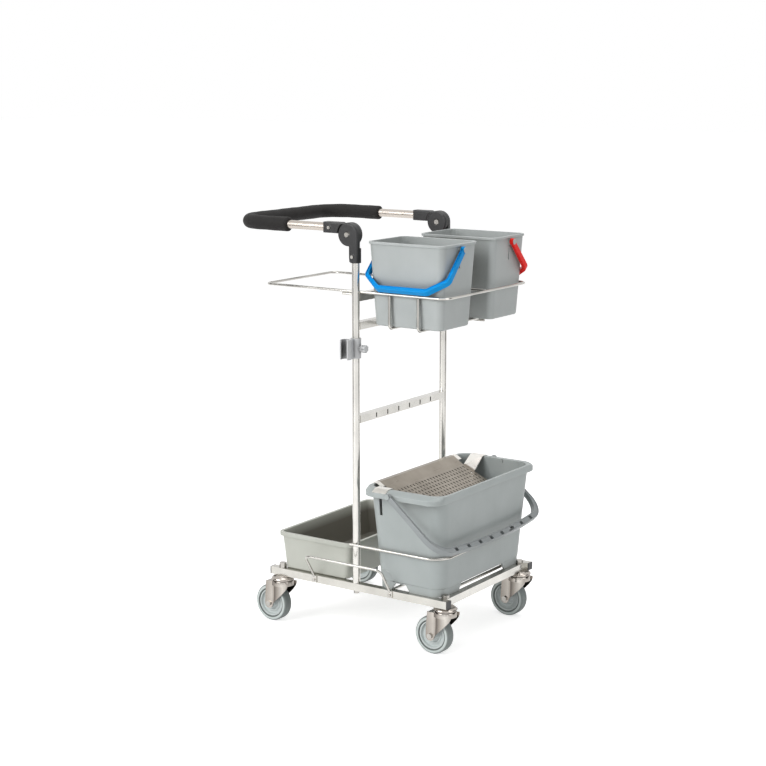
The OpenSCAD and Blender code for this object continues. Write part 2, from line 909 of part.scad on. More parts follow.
// Tyre with rounded shoulders
module tyre(place) {
    shoulder_r = 6;
    groove_r = 3;
    half = tyre_width / 2;
    color(dark_grey)
        translate([place.x - trail, place.y, axle_z])
            rotate([90, 0, 0])
                rotate_extrude($fn = 96)
                    difference() {
                        union() {
                            translate([tyre_inner_r, -half])
                                square([wheel_d / 2 - shoulder_r - tyre_inner_r, tyre_width]);
                            translate([tyre_inner_r, -half + shoulder_r])
                                square([wheel_d / 2 - tyre_inner_r, tyre_width - 2 * shoulder_r]);
                            for (side = [-1, 1])
                                translate([wheel_d / 2 - shoulder_r, side * (half - shoulder_r)])
                                    circle(r = shoulder_r);
                        }
                        for (side = [-1, 1])
                            translate([tyre_inner_r - 1, side * half])
                                circle(r = groove_r);
                    }
}

// Repeat a piece that faces +X on the face that looks along -X
module front_and_rear() {
    children();
    mirror([1, 0, 0]) children();
}

// Small buckets and their bails
small_bail_w = 9;
small_bail_t = 13;
small_pin_r = 5;
small_eye_r = 8.5;
small_pivot_z = small_rim_z - 15;
small_arm_x = small_rim.x / 2 + 0.8 + small_bail_w / 2;

module small_bucket() {
    lip_h = 6;
    lip_over = 3;
    top = small_rim - [2 * lip_over, 2 * lip_over];
    inset = [2 * shell_wall, 2 * shell_wall];
    pin_root_x = top.x / 2 - 2;
    pin_head = [7, 2];
    pin_length = small_arm_x + small_bail_w / 2 + 0.5 - pin_root_x;
    slot = [6, 30];
    slot_z = small_pivot_z - 47;
    foot_hollow = 2;
    foot_border = 15;
    foot_corner = 26;
    top_corner = 30;
    color(grey_plastic)
        translate([small_x, -small_pitch / 2, 0])
            difference() {
                union() {
                    tapered_block(small_foot, top, foot_corner, top_corner, small_base_z, small_rim_z - 1);
                    slab(small_rim, top_corner + lip_over, small_rim_z - lip_h, lip_h);
                    front_and_rear()
                        translate([pin_root_x, 0, small_pivot_z]) {
                            round_bar(pin_length, small_pin_r);
                            translate([pin_length, 0, 0]) round_bar(pin_head[1], pin_head[0]);
                            round_bar(small_rim.x / 2 - pin_root_x, small_eye_r);
                        }
                }
                tapered_block(small_foot - inset, top - inset,
                    foot_corner - shell_wall, top_corner - shell_wall,
                    small_base_z + shell_wall + foot_hollow, small_rim_z + through);
                slab(small_foot - 2 * [foot_border, foot_border], foot_corner - shell_wall,
                    small_base_z - through, foot_hollow + through);
                front_and_rear()
                    translate([small_foot.x / 2 - 5, -slot.x / 2, slot_z])
                        cube([small_rim.x, slot.x, slot.y]);
            }
}

// Bail that hangs outwards from its two pins
module small_bail(tint) {
    arm_reach = small_bail_reach - 37;
    grip_half = 0.6 * small_arm_x;
    web_t = 5;
    pocket_start = 2 * small_eye_r + 3;
    path = [
        [-small_arm_x, 0], [-small_arm_x, arm_reach], [-grip_half, small_bail_reach],
        [grip_half, small_bail_reach], [small_arm_x, arm_reach], [small_arm_x, 0]
    ];
    pocket_path = [for (p = path) [p.x, max(p.y, pocket_start)]];
    color(tint)
        translate([small_x, -small_pitch / 2, small_pivot_z])
            rotate([180 + small_bail_droop, 0, 0])
                difference() {
                    union() {
                        linear_extrude(small_bail_t, center = true)
                            polygon(strip(path, small_bail_w));
                        for (side = [-1, 1])
                            translate([side * small_arm_x - small_bail_w / 2, 0, 0])
                                round_bar(small_bail_w, small_eye_r);
                    }
                    both_ends()
                        translate([0, 0, web_t / 2])
                            linear_extrude(small_bail_t)
                                polygon(strip(pocket_path, small_bail_w - 4));
                    translate([-2 * small_arm_x, 0, 0])
                        round_bar(4 * small_arm_x, small_pin_r + running_gap);
                }
}

// Large bucket, its bail and its sieve
large_wall = 3;
large_pin_r = 5;
large_eye_r = 9;
lip_edge_z = large_rim_z - 8;
lip_base_z = large_rim_z - 20;
lip_flat_y = large_rim.y - 30;
large_foot_h = 21;
large_foot_corner = 38;
floor_z = rail_top_z + large_foot_h;
large_top_corner = 45;
large_arm_w = 9;
large_arm_y = large_rim.y / 2 + 1 + large_arm_w / 2;

// Sloped lip round the rim: flat on top and falling away at both ends
module large_lip(grow, base_z) {
    flat = [large_rim.x + 2 * grow, lip_flat_y + 2 * grow];
    flat_corner = 40;
    hull() {
        slab(large_rim + [2 * grow, 2 * grow], large_top_corner + grow, base_z,
            lip_edge_z + grow - base_z, $fn = 32);
        slab(flat, flat_corner, large_rim_z + grow - 1, 1, $fn = 32);
    }
}

// Opening with slanted sides at the foot of a wall
module foot_arch(width, depth) {
    arch_h = 18;
    slant = 12;
    rotate([90, 0, 0])
        linear_extrude(depth, center = true)
            polygon([
                [-width / 2, -through], [width / 2, -through],
                [width / 2 - slant, arch_h], [slant - width / 2, arch_h]
            ]);
}

module large_bucket() {
    inset = [2 * large_wall, 2 * large_wall];
    body_foot = large_foot + [6, 2];
    body_corner = large_foot_corner + 2;
    wall_slot = [8, 44];
    slot_x = -88;
    slot_z = large_rim_z - 73;
    gusset = [2, (large_rim.y - large_top.y) / 2 + 1, lip_edge_z - lip_base_z];
    gusset_x = [-70, 20, 70];
    recess_r = 26;
    recess_z = floor_z + 4;
    recess_depth_y = large_foot.y / 2 + 0.5;
    pin_length = large_arm_w + 3;
    pin_head = [large_pin_r + 2, 2];
    color(grey_plastic)
        translate([large_x, 0, 0])
            difference() {
                union() {
                    difference() {
                        tapered_block(body_foot, large_top, body_corner, large_top_corner,
                            floor_z, large_rim_z - 2);
                        both_sides()
                            translate([slot_x - wall_slot.x / 2, -large_rim.y / 2, slot_z])
                                cube([wall_slot.x, large_rim.y / 4, wall_slot.y]);
                        both_sides()
                            translate([slot_x, -recess_depth_y, recess_z])
                                point_near() cylinder(h = tube_size, r = recess_r);
                    }
                    difference() {
                        large_lip(0, lip_base_z);
                        large_lip(-large_wall, lip_base_z - through);
                    }
                    both_sides()
                        for (x = gusset_x)
                            translate([x, 1 - large_rim.y / 2, lip_base_z]) cube(gusset);
                    both_sides()
                        translate([large_pivot_x - large_x, 1 - large_rim.y / 2, large_pivot_z])
                            point_near() {
                                cylinder(h = pin_length, r = large_pin_r);
                                translate([0, 0, pin_length - 0.5])
                                    cylinder(h = pin_head[1], r = pin_head[0]);
                            }
                }
                tapered_block(body_foot - inset, large_top - inset,
                    body_corner - large_wall, large_top_corner - large_wall,
                    floor_z + large_wall, large_rim_z + through);
            }
}

// Skirt under the large bucket's floor, with an arch in each side
module large_bucket_foot() {
    skirt_t = 2 * large_wall;
    end_arch = 55;
    end_arch_x = -24;
    front_arch = 230;
    color(grey_plastic)
        translate([large_x, 0, 0])
            difference() {
                slab(large_foot, large_foot_corner, rail_top_z, large_foot_h);
                slab(large_foot - 2 * [skirt_t, skirt_t], large_foot_corner - skirt_t,
                    rail_top_z - through, large_foot_h + 2 * through);
                translate([end_arch_x, 0, rail_top_z]) foot_arch(end_arch, large_rim.y);
                translate([0, 0, rail_top_z]) rotate([0, 0, 90]) foot_arch(front_arch, large_rim.y);
            }
}

// Bail with a bowed grip that hangs in front of the bucket
module large_bail() {
    corner_r = 36;
    corner_y = large_arm_y - corner_r;
    corner_reach = 160;
    bow = large_bail_reach - corner_reach - corner_r;
    channel_depth = 4;
    channel_w = large_arm_w - 4;
    pocket = [11, 8, 8];
    pocket_pitch = 53;
    one_side = concat(
        [[large_arm_y, 0], [large_arm_y, corner_reach / 2]],
        [for (a = [0 : 15 : 75]) [corner_y + corner_r * cos(a), corner_reach + corner_r * sin(a)]],
        [for (k = [1 : -0.25 : 0]) [corner_y * k, large_bail_reach - bow * k * k]]
    );
    last = len(one_side) - 1;
    path = concat([for (p = one_side) [-p.x, p.y]], [for (i = [last - 1 : -1 : 0]) one_side[i]]);
    widths = [for (p = path) p.y < corner_reach + 1 ? large_arm_w : large_bail_w];
    arm_channel = [[0, 20], [0, corner_reach - 5]];
    color(dark_grey)
        translate([large_pivot_x, 0, large_pivot_z])
            rotate([0, 180 + large_bail_droop, 0])
                rotate([0, 0, 90])
                    difference() {
                        union() {
                            linear_extrude(large_bail_t, center = true)
                                polygon(strip(path, widths));
                            for (side = [-1, 1])
                                translate([side * large_arm_y - large_arm_w / 2, 0, 0])
                                    round_bar(large_arm_w, large_eye_r);
                        }
                        both_ends()
                            for (side = [-1, 1])
                                translate([side * large_arm_y, 0, large_bail_t / 2 - channel_depth])
                                    linear_extrude(large_bail_t)
                                        polygon(strip(arm_channel, channel_w));
                        for (i = [-3.5 : 1 : 3.5])
                            translate([
                                i * pocket_pitch - pocket.x / 2,
                                large_bail_reach - bow * pow(i * pocket_pitch / corner_y, 2) - pocket.y / 2,
                                -large_bail_t
                            ])
                                cube([pocket.x, pocket.y, large_bail_t / 2 + pocket.z]);
                        translate([-2 * large_arm_y, 0, 0])
                            round_bar(4 * large_arm_y, large_pin_r + running_gap);
                    }
}

// Perforated wringing sieve of sheet steel, hooked over the rear and the two ends of the rim
module sieve() {
    sheet = 1.5;
    inner_sheet = 1.2;
    weld = 4;
    plate_half_y = large_top.y / 2 - 52;
    plate_length = large_rim.x - 103;
    plate_slope = 23;
    plate_rear = [large_x - 75, large_rim_z - 18];
    seat_z = large_rim_z + seat_gap + sheet / 2;
    rear_top = [large_x - 106, seat_z];
    hook_length = 11;
    front_flange = 12;
    plate_front = plate_rear + plate_length * [cos(plate_slope), -sin(plate_slope)];
    side_line = [
        rear_top - [hook_length, 0], rear_top, plate_rear, plate_front,
        plate_front - front_flange * [sin(plate_slope), cos(plate_slope)]
    ];
    wing_line = [rear_top - [hook_length, 0], rear_top, (rear_top + plate_rear) / 2];
    wing_half_y = plate_half_y + 18;
    rows = 8;
    columns = 25;
    hole = [8, 4];
    first_row = 7;
    row_pitch = (plate_length - first_row - 10) / rows;
    column_pitch = (2 * plate_half_y - 12) / columns;
    first_column = -column_pitch * (columns - 1) / 2 - hole.y / 2;
    strap_x = [large_x - 79, large_x - 38];
    strap_inner_y = large_top.y / 2 - large_wall - 1;
    strap_line = [
        [weld - strap_inner_y, seat_z], [-lip_flat_y / 2 - 0.5, seat_z],
        [1 - large_rim.y / 2, lip_edge_z + sheet]
    ];
    color(bright_steel)
        difference() {
            union() {
                sheet_across(side_line, sheet, plate_half_y);
                sheet_across(wing_line, inner_sheet, wing_half_y);
                both_sides() {
                    hull() {
                        translate([plate_rear.x, -plate_half_y, plate_rear.y])
                            rotate([0, plate_slope, 0])
                                translate([weld, 0, -inner_sheet / 2])
                                    cube([strap_x[1] - plate_rear.x, weld, inner_sheet]);
                        translate([strap_x[0] + 1, -strap_inner_y, seat_z - inner_sheet / 2])
                            cube([strap_x[1] - strap_x[0] - 2, weld, inner_sheet]);
                    }
                    translate([strap_x[0], 0, 0])
                        rotate([90, 0, 90])
                            linear_extrude(strap_x[1] - strap_x[0])
                                polygon(strip(strap_line, sheet));
                }
            }
            translate([plate_rear.x, 0, plate_rear.y])
                rotate([0, plate_slope, 0])
                    linear_extrude(3 * sheet, center = true)
                        for (i = [0 : rows - 1], j = [0 : columns - 1])
                            translate([first_row + i * row_pitch, first_column + j * column_pitch])
                                square(hole);
        }
}

// Sheet bent along a line in the XZ plane, even across the trolley
module sheet_across(line, sheet, half_y) {
    rotate([90, 0, 0])
        linear_extrude(2 * half_y, center = true)
            polygon(strip(line, sheet));
}

module tray() {
    rim_over = 6;
    rim_h = 5;
    foot_corner = 28;
    top_corner = 32;
    top = tray_rim - [2 * rim_over, 2 * rim_over];
    inset = [2 * shell_wall, 2 * shell_wall];
    color("#c8cac2")
        translate([tray_x, 0, 0])
            difference() {
                union() {
                    tapered_block(tray_foot, top, foot_corner, top_corner, rail_top_z, tray_rim_z - 1);
                    slab(tray_rim, top_corner + rim_over, tray_rim_z - rim_h, rim_h);
                }
                tapered_block(tray_foot - inset, top - inset,
                    foot_corner - shell_wall, top_corner - shell_wall,
                    rail_top_z + shell_wall, tray_rim_z + through);
            }
}

side_rail(-rail_y);  // side_rail_near
side_rail(rail_y);  // side_rail_far
rail_end_caps();
front_cross_rail();
rear_cross_rail();
rest_rods();
post(-rail_y);  // post_near
post(rail_y);  // post_far
post_bolts();
accessory_rail();
upper_carrier_bar();
lower_carrier_bar();
basket_ring();
basket_divider();
basket_cradle_wires();
basket_stays();
bag_ring();
bag_ring_stays();
bucket_guard_ring();
side_guard();  // side_guard_near
mirror([0, 1, 0]) side_guard();  // side_guard_far
guard_screws();
castor_heads();
castor_nuts();
hinge_post_socket();  // hinge_post_socket_near
mirror([0, 1, 0]) hinge_post_socket();  // hinge_post_socket_far
hinge_pivot_bolts();
hinge_screws();
tool_clip();
clip_knob();
handle_tube();
handle_grip();
hinge_arm();  // hinge_arm_near
mirror([0, 1, 0]) hinge_arm();  // hinge_arm_far
arm_screws();
fork(front_near);  // fork_front_near
fork(front_far);  // fork_front_far
fork(rear_near);  // fork_rear_near
fork(rear_far);  // fork_rear_far
axle(front_near);  // axle_front_near
axle(front_far);  // axle_front_far
axle(rear_near);  // axle_rear_near
axle(rear_far);  // axle_rear_far
hub(front_near);  // hub_front_near
hub(front_far);  // hub_front_far
hub(rear_near);  // hub_rear_near
hub(rear_far);  // hub_rear_far
tyre(front_near);  // tyre_front_near
tyre(front_far);  // tyre_front_far
tyre(rear_near);  // tyre_rear_near
tyre(rear_far);  // tyre_rear_far
small_bucket();  // small_bucket_near
mirror([0, 1, 0]) small_bucket();  // small_bucket_far
small_bail("#008cf0");  // small_bail_near
mirror([0, 1, 0]) small_bail("#eb1e19");  // small_bail_far
large_bucket();
large_bucket_foot();
large_bail();
sieve();
tray();
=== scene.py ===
# %% [markdown]
# # A double mop bucket trolley
# The trolley is a tube and wire frame on four castors. It carries a tray, a large bucket with a
# wringing sieve, two small buckets and a bag ring, and it has a push handle that folds up.
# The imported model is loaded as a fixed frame: it already holds every piece at its real size, in
# metres, with +X to the front and +Z up. This lesson dresses that frame.

# %% Load the frame
import math
import bmesh
import bpy
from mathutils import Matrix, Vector


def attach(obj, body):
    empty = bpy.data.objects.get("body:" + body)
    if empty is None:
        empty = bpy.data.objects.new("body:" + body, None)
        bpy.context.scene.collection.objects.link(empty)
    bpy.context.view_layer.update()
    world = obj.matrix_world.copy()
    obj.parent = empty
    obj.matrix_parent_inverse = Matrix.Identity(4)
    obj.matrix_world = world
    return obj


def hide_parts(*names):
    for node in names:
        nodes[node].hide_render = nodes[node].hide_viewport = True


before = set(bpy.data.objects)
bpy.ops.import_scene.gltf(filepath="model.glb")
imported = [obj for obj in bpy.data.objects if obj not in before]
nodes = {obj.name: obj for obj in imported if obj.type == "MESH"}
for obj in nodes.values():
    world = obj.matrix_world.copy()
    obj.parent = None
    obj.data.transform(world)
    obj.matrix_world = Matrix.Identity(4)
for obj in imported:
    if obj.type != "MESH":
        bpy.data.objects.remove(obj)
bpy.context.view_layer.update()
mm = 0.001

# %% [markdown]
# ## The camera
# The photograph was taken with a long lens from a little above the handle. Straight rails and
# posts fix such a view well: their vanishing lines give the lens, and their known sizes the
# distance. The place and the direction are kept as plain numbers, with no shift and no roll.

# %% Set up the camera
picture_px = 766
focal_px = 1717
sensor_mm = 36
camera_place = Vector((2.5206, -3.7078, 1.4847))
looking_back = Vector((0.5547, -0.8112, 0.1850))


def put_in_scene(name, data, place, way, front="-Z"):
    """An object at a place, with its front turned along a way."""
    obj = bpy.data.objects.new(name, data)
    obj.location = place
    obj.rotation_euler = Vector(way).to_track_quat(front, "Y").to_euler()
    bpy.context.scene.collection.objects.link(obj)
    return obj


camera_data = bpy.data.cameras.new("photo_camera")
camera_data.sensor_width = sensor_mm
camera_data.lens = focal_px / picture_px * sensor_mm
camera_data.clip_end = 60
bpy.context.scene.camera = put_in_scene("photo_camera", camera_data, camera_place, -looking_back)
print("lens mm:", round(camera_data.lens, 1))

# %% [markdown]
# ## The studio
# The trolley stands in a white studio. Three large soft lamps and a pale sky light it at a plain
# level, so a colour renders about as it is written.

# %% Light the studio
trolley_middle = Vector((0, 0, 0.55))


def soft_lamp(name, place, width, height, watts):
    data = bpy.data.lights.new(name, "AREA")
    data.shape = "RECTANGLE"
    data.size = width
    data.size_y = height
    data.energy = watts
    put_in_scene(name, data, place, trolley_middle - Vector(place))


soft_lamp("key_lamp", (-1.3, -3.4, 2.3), 2.4, 2.4, 96)
soft_lamp("top_lamp", (0.3, 0.2, 3.6), 2.6, 2.6, 40)
soft_lamp("front_lamp", (3.6, -0.4, 1.7), 1.8, 2.2, 19)

# %% [markdown]
# The sky lights the trolley at less than full strength, and still shows as pure white wherever it is
# seen. Sky, floor and finishes are all networks of shader nodes, so two helpers come first: one adds
# a node with its values and links in one line, and one does sums.

# %% Make the white sky
def add_node(tree, kind, inputs=None, **settings):
    node = tree.nodes.new(kind)
    for key, value in settings.items():
        setattr(node, key, value)
    for key, value in (inputs or {}).items():
        if isinstance(value, bpy.types.NodeSocket):
            tree.links.new(value, node.inputs[key])
        else:
            node.inputs[key].default_value = value
    return node


def maths(tree, operation, first, second=0.0):
    return add_node(tree, "ShaderNodeMath", {0: first, 1: second}, operation=operation).outputs[0]


def shown_rays(tree):
    """1 for rays that show the backdrop: from the camera, off metal and through clear pieces."""
    path = add_node(tree, "ShaderNodeLightPath").outputs
    seen = maths(tree, "MAXIMUM", path["Is Camera Ray"], path["Is Glossy Ray"])
    return maths(tree, "MAXIMUM", seen, path["Is Transmission Ray"])


white = (1, 1, 1, 1)
sky_strength = 0.45
world = bpy.data.worlds.new("white_studio")
world.use_nodes = True
bpy.context.scene.world = world
sky = world.node_tree
sky_light = sky.nodes["Background"]
sky_light.inputs["Color"].default_value = white
sky_light.inputs["Strength"].default_value = sky_strength
sky_seen = add_node(sky, "ShaderNodeBackground", {"Color": white, "Strength": 1.0})
sky_mix = add_node(sky, "ShaderNodeMixShader",
                   {0: shown_rays(sky), 1: sky_light.outputs[0], 2: sky_seen.outputs[0]})
sky.links.new(sky_mix.outputs[0], sky.nodes["World Output"].inputs["Surface"])
print("sky light:", sky_strength)

# %% [markdown]
# The floor shows white to the camera by its own light, and it also takes a soft shadow, so the wheels
# stand on something. Dark cards outside the view are what a product photographer uses to draw a dark
# edge along polished metal.

# %% Lay the floor and stand the dark cards
def plain_plane(name, half_x, half_y, place, facing):
    mesh = bpy.data.meshes.new(name)
    corners = [(-half_x, -half_y, 0), (half_x, -half_y, 0), (half_x, half_y, 0), (-half_x, half_y, 0)]
    mesh.from_pydata(corners, [], [(0, 1, 2, 3)])
    plane = put_in_scene(name, mesh, place, facing, front="Z")
    return plane


def open_material(name):
    paint = bpy.data.materials.new(name)
    paint.use_nodes = True
    return paint, paint.node_tree, paint.node_tree.nodes["Principled BSDF"]


floor_glow = 0.62
floor = plain_plane("floor", 30, 30, (0, 0, 0), (0, 0, 1))
floor_paint, floor_net, matt = open_material("white_floor")
matt.inputs["Base Color"].default_value = (0.86, 0.86, 0.86, 1)
matt.inputs["Roughness"].default_value = 0.9
matt.inputs["Specular IOR Level"].default_value = 0.1
glow_strength = maths(floor_net, "MULTIPLY", shown_rays(floor_net), floor_glow)
glow = add_node(floor_net, "ShaderNodeEmission", {"Color": white, "Strength": glow_strength})
both = add_node(floor_net, "ShaderNodeAddShader", {0: matt.outputs[0], 1: glow.outputs[0]})
floor_net.links.new(both.outputs[0], floor_net.nodes["Material Output"].inputs["Surface"])
floor.data.materials.append(floor_paint)

card_paint = open_material("dark_card")[0]
card_matt = card_paint.node_tree.nodes["Principled BSDF"]
card_matt.inputs["Base Color"].default_value = (0.03, 0.028, 0.026, 1)
card_matt.inputs["Roughness"].default_value = 0.95
card_places = {"left_card": (-2.0, -1.7, 0.9), "right_card": (2.3, 1.2, 0.9)}
for card_name, card_place in card_places.items():
    card = plain_plane(card_name, 0.6, 1.2, card_place, trolley_middle - Vector(card_place))
    card.data.materials.append(card_paint)
    card.visible_camera = False
print("dark cards:", len(card_places))

# %% [markdown]
# ## Building blocks for the finishes
# Colours are written as on a screen, from 0 to 255, and turned into the linear numbers that shaders
# use. Vectors, ranges and noise get helpers like the one for sums. A node group has named sockets. It
# is made once and placed in many materials, so that all plastics share one grain and all metals one
# brushing.

# %% Helpers for shader networks
def screen_colour(red, green, blue):
    channels = []
    for value in (red, green, blue):
        share = value / 255
        channels.append(share / 12.92 if share <= 0.04045 else ((share + 0.055) / 1.055) ** 2.4)
    return (*channels, 1)


def vectors(tree, operation, first, second=(0, 0, 0)):
    node = add_node(tree, "ShaderNodeVectorMath", {0: first, 1: second}, operation=operation)
    return node.outputs["Value" if operation in ("DOT_PRODUCT", "LENGTH") else "Vector"]


def remap(tree, value, low, high, new_low=0.0, new_high=1.0):
    """Spread a value's range from low to high over a new range."""
    return add_node(tree, "ShaderNodeMapRange", {"Value": value, "From Min": low, "From Max": high,
                                                 "To Min": new_low, "To Max": new_high}).outputs[0]


def spot_on_part(tree):
    return add_node(tree, "ShaderNodeTexCoord").outputs["Object"]


def noise(tree, spot, scale, detail, roughness=0.5):
    return add_node(tree, "ShaderNodeTexNoise", {"Vector": spot, "Scale": scale, "Detail": detail,
                                                 "Roughness": roughness}).outputs["Fac"]


def open_group(name, inputs, outputs):
    tree = bpy.data.node_groups.new(name, "ShaderNodeTree")
    for label, value in inputs.items():
        kind = "NodeSocketVector" if isinstance(value, tuple) else "NodeSocketFloat"
        tree.interface.new_socket(label, in_out="INPUT", socket_type=kind).default_value = value
    for label in outputs:
        tree.interface.new_socket(label, in_out="OUTPUT", socket_type="NodeSocketFloat")
    return tree, tree.nodes.new("NodeGroupInput").outputs


def close_group(tree, **results):
    sockets = tree.nodes.new("NodeGroupOutput").inputs
    for label, source in results.items():
        tree.links.new(source, sockets[label])
    print("group:", tree.name)


def place_group(tree, group, inputs):
    return add_node(tree, "ShaderNodeGroup", inputs, node_tree=group).outputs

# %% [markdown]
# ### Moulded grain
# Moulds for buckets and handles are etched with a fine grain, which hides flow marks. Under it the
# colour drifts a little, as pigment never mixes perfectly. Noise at two scales gives both: the fine
# one for the bump, and the broad one for tone and gloss.

# %% Group: moulded grain
grain_group, grain_in = open_group(
    "moulded_grain", {"Grain per metre": 900.0, "Drift per metre": 9.0}, ("Height", "Tone", "Gloss"))
grain_spot = spot_on_part(grain_group)
fine = noise(grain_group, grain_spot, grain_in["Grain per metre"], 2.0, 0.6)
broad = noise(grain_group, grain_spot, grain_in["Drift per metre"], 3.0, 0.55)
grain_gloss = maths(grain_group, "MULTIPLY", maths(grain_group, "ADD", fine, broad), 0.5)
close_group(grain_group, Height=fine, Tone=broad, Gloss=grain_gloss)

# %% [markdown]
# ### Worn and lit edges
# Hands, hoses and other trolleys rub a moulding along its edges, where it turns paler and smoother.
# The same paler edge also paints the highlight that a rim catches.
# A bevel node looks a short way around each point. Where the rounded normal leaves the true one,
# there is an edge, and a little noise breaks the pale edge up so that it isn't a drawn outline.

# %% Group: worn and lit edges
# Paler edges: real rubbing, and a painted highlight along rims.
edge_group, edge_in = open_group("worn_and_lit_edges", {"Reach": 0.0025, "Patches per metre": 60.0}, ("Wear",))
rounded = add_node(edge_group, "ShaderNodeBevel", {"Radius": edge_in["Reach"]}, samples=4).outputs[0]
true_normal = add_node(edge_group, "ShaderNodeNewGeometry").outputs["Normal"]
turned = remap(edge_group, vectors(edge_group, "DOT_PRODUCT", rounded, true_normal), 0.99, 0.80)
patches = noise(edge_group, spot_on_part(edge_group), edge_in["Patches per metre"], 4.0)
patches = remap(edge_group, patches, 0.30, 0.65, 0.25, 1.0)
close_group(edge_group, Wear=maths(edge_group, "MULTIPLY", turned, patches))

# %% [markdown]
# ### Painted shade in recesses
# The inside of a tray or bucket is never as bright as its outside, because little light gets in, so
# shade is painted into recesses. An ambient occlusion node measures how much of the surroundings a
# point can see within a given reach. The group turns that into a mask from open (0) to closed in (1).

# %% Group: recess shade
recess_group, recess_in = open_group("recess_shade", {"Reach": 0.15}, ("Shade",))
openness = add_node(recess_group, "ShaderNodeAmbientOcclusion", {"Distance": recess_in["Reach"]}, samples=6)
close_group(recess_group, Shade=remap(recess_group, openness.outputs["AO"], 0.80, 0.30))

# %% [markdown]
# ### Painted shade inside an open box
# A deep open box looks dark inside from every side, so its inner faces get painted shade. They are
# the ones that can see a point high above the opening, so a dot product between the face's normal and
# the way to that point picks them out. The lip is left out by its height, because it catches the light.

# %% Group: open box
box_group, box_in = open_group("open_box_shade", {"Above": (0.0, 0.0, 1.0), "Lip": 0.0}, ("Inside",))
box_spot = add_node(box_group, "ShaderNodeTexCoord").outputs
upward = vectors(box_group, "SUBTRACT", box_in["Above"], box_spot["Object"])
upward = vectors(box_group, "NORMALIZE", upward)
inner_face = remap(box_group, vectors(box_group, "DOT_PRODUCT", upward, box_spot["Normal"]), 0.02, 0.12)
box_height = add_node(box_group, "ShaderNodeSeparateXYZ", {0: box_spot["Object"]}).outputs["Z"]
deep_enough = remap(box_group, maths(box_group, "SUBTRACT", box_in["Lip"], box_height), 0.004, 0.030)
close_group(box_group, Inside=maths(box_group, "MULTIPLY", inner_face, deep_enough))

# %% [markdown]
# ### Brushing
# Stainless tube is finished on a belt, which leaves fine scratches along its length. Noise that is
# stretched along one direction looks just like it. The stretch is an input, so that the same group
# serves tubes along the trolley, across it and upright.

# %% Group: brushing
brush_group, brush_in = open_group(
    "brushing", {"Stretch": (6.0, 700.0, 700.0), "Smears per metre": 14.0}, ("Height", "Tone", "Gloss"))
brush_spot = spot_on_part(brush_group)
stretched = vectors(brush_group, "MULTIPLY", brush_spot, brush_in["Stretch"])
scratches = noise(brush_group, stretched, 1.0, 3.0, 0.65)
smears = noise(brush_group, brush_spot, brush_in["Smears per metre"], 3.0)
brush_gloss = maths(brush_group, "MULTIPLY", maths(brush_group, "ADD", scratches, smears), 0.5)
close_group(brush_group, Height=scratches, Tone=smears, Gloss=brush_gloss)

# %% [markdown]
# ## The finishes
# Every finish is one material with a Principled shader. The groups drive its colour between a
# darker and a lighter tone, its roughness between two limits, and a bump. Values that are the same
# all over, such as metallic, are set straight on the shader's own sockets.

# %% A recipe for plastics
def mix_colours(net, factor, *tones):
    """Mix two tones: each is a link, or a colour as on a screen."""
    first, second = (screen_colour(*tone) if isinstance(tone, tuple) else tone for tone in tones)
    return add_node(net, "ShaderNodeMix", {0: factor, 6: first, 7: second}, data_type="RGBA").outputs[2]


def between(net, value, low, high):
    """Noise mostly stays from 0.3 to 0.7, so that span is spread from low to high."""
    return remap(net, value, 0.3, 0.7, low, high)


def link_finish(net, shader, colour, gloss, rough, height, depth, bump_size):
    bump = add_node(net, "ShaderNodeBump", {"Height": height, "Strength": depth, "Distance": bump_size})
    net.links.new(colour, shader.inputs["Base Color"])
    net.links.new(between(net, gloss, *rough), shader.inputs["Roughness"])
    net.links.new(bump.outputs[0], shader.inputs["Normal"])


def plastic(name, dark, light, rough, worn_and_lit, painted_recess_shade=None, recess_reach=0.15, open_box_shade=None, depth=0.12,
            sheen=0.5):
    paint, net, shader = open_material(name)
    surface = place_group(net, grain_group, {"Grain per metre": 900.0, "Drift per metre": 9.0})
    wear_and_highlight = place_group(net, edge_group, {"Reach": 0.0025, "Patches per metre": 60.0})["Wear"]
    colour = mix_colours(net, between(net, surface["Tone"], 0.0, 1.0), dark, light)
    # Painted shade in recesses: a darker colour where little of the surroundings is seen.
    if painted_recess_shade:
        shade = place_group(net, recess_group, {"Reach": recess_reach})["Shade"]
        colour = mix_colours(net, shade, colour, painted_recess_shade)
    # Painted shade on the inner faces of an open box.
    if open_box_shade:
        above, lip, deep = open_box_shade
        inside = place_group(net, box_group, {"Above": above, "Lip": lip})["Inside"]
        colour = mix_colours(net, inside, colour, deep)
    # Paler edges: rubbing, plus a painted highlight along the rims.
    colour = mix_colours(net, wear_and_highlight, colour, worn_and_lit)
    link_finish(net, shader, colour, surface["Gloss"], rough, surface["Height"], depth, 0.0006)
    shader.inputs["Specular IOR Level"].default_value = sheen
    return paint


satin = (0.34, 0.46)
glossy = (0.26, 0.38)
above_tray = (-0.092, 0.0, 0.60)
tray_lip = 0.250
# The recess colours below are painted shade; the clip's dark one is the painted shade in its jaw.
bucket_paint = plastic("bucket_plastic", (170, 175, 174), (180, 185, 184), satin, (203, 207, 206),
                       painted_recess_shade=(122, 124, 121))
large_bucket_paint = plastic("large_bucket_plastic", (164, 171, 170), (174, 181, 180), satin,
                             (200, 205, 204), painted_recess_shade=(156, 160, 158))
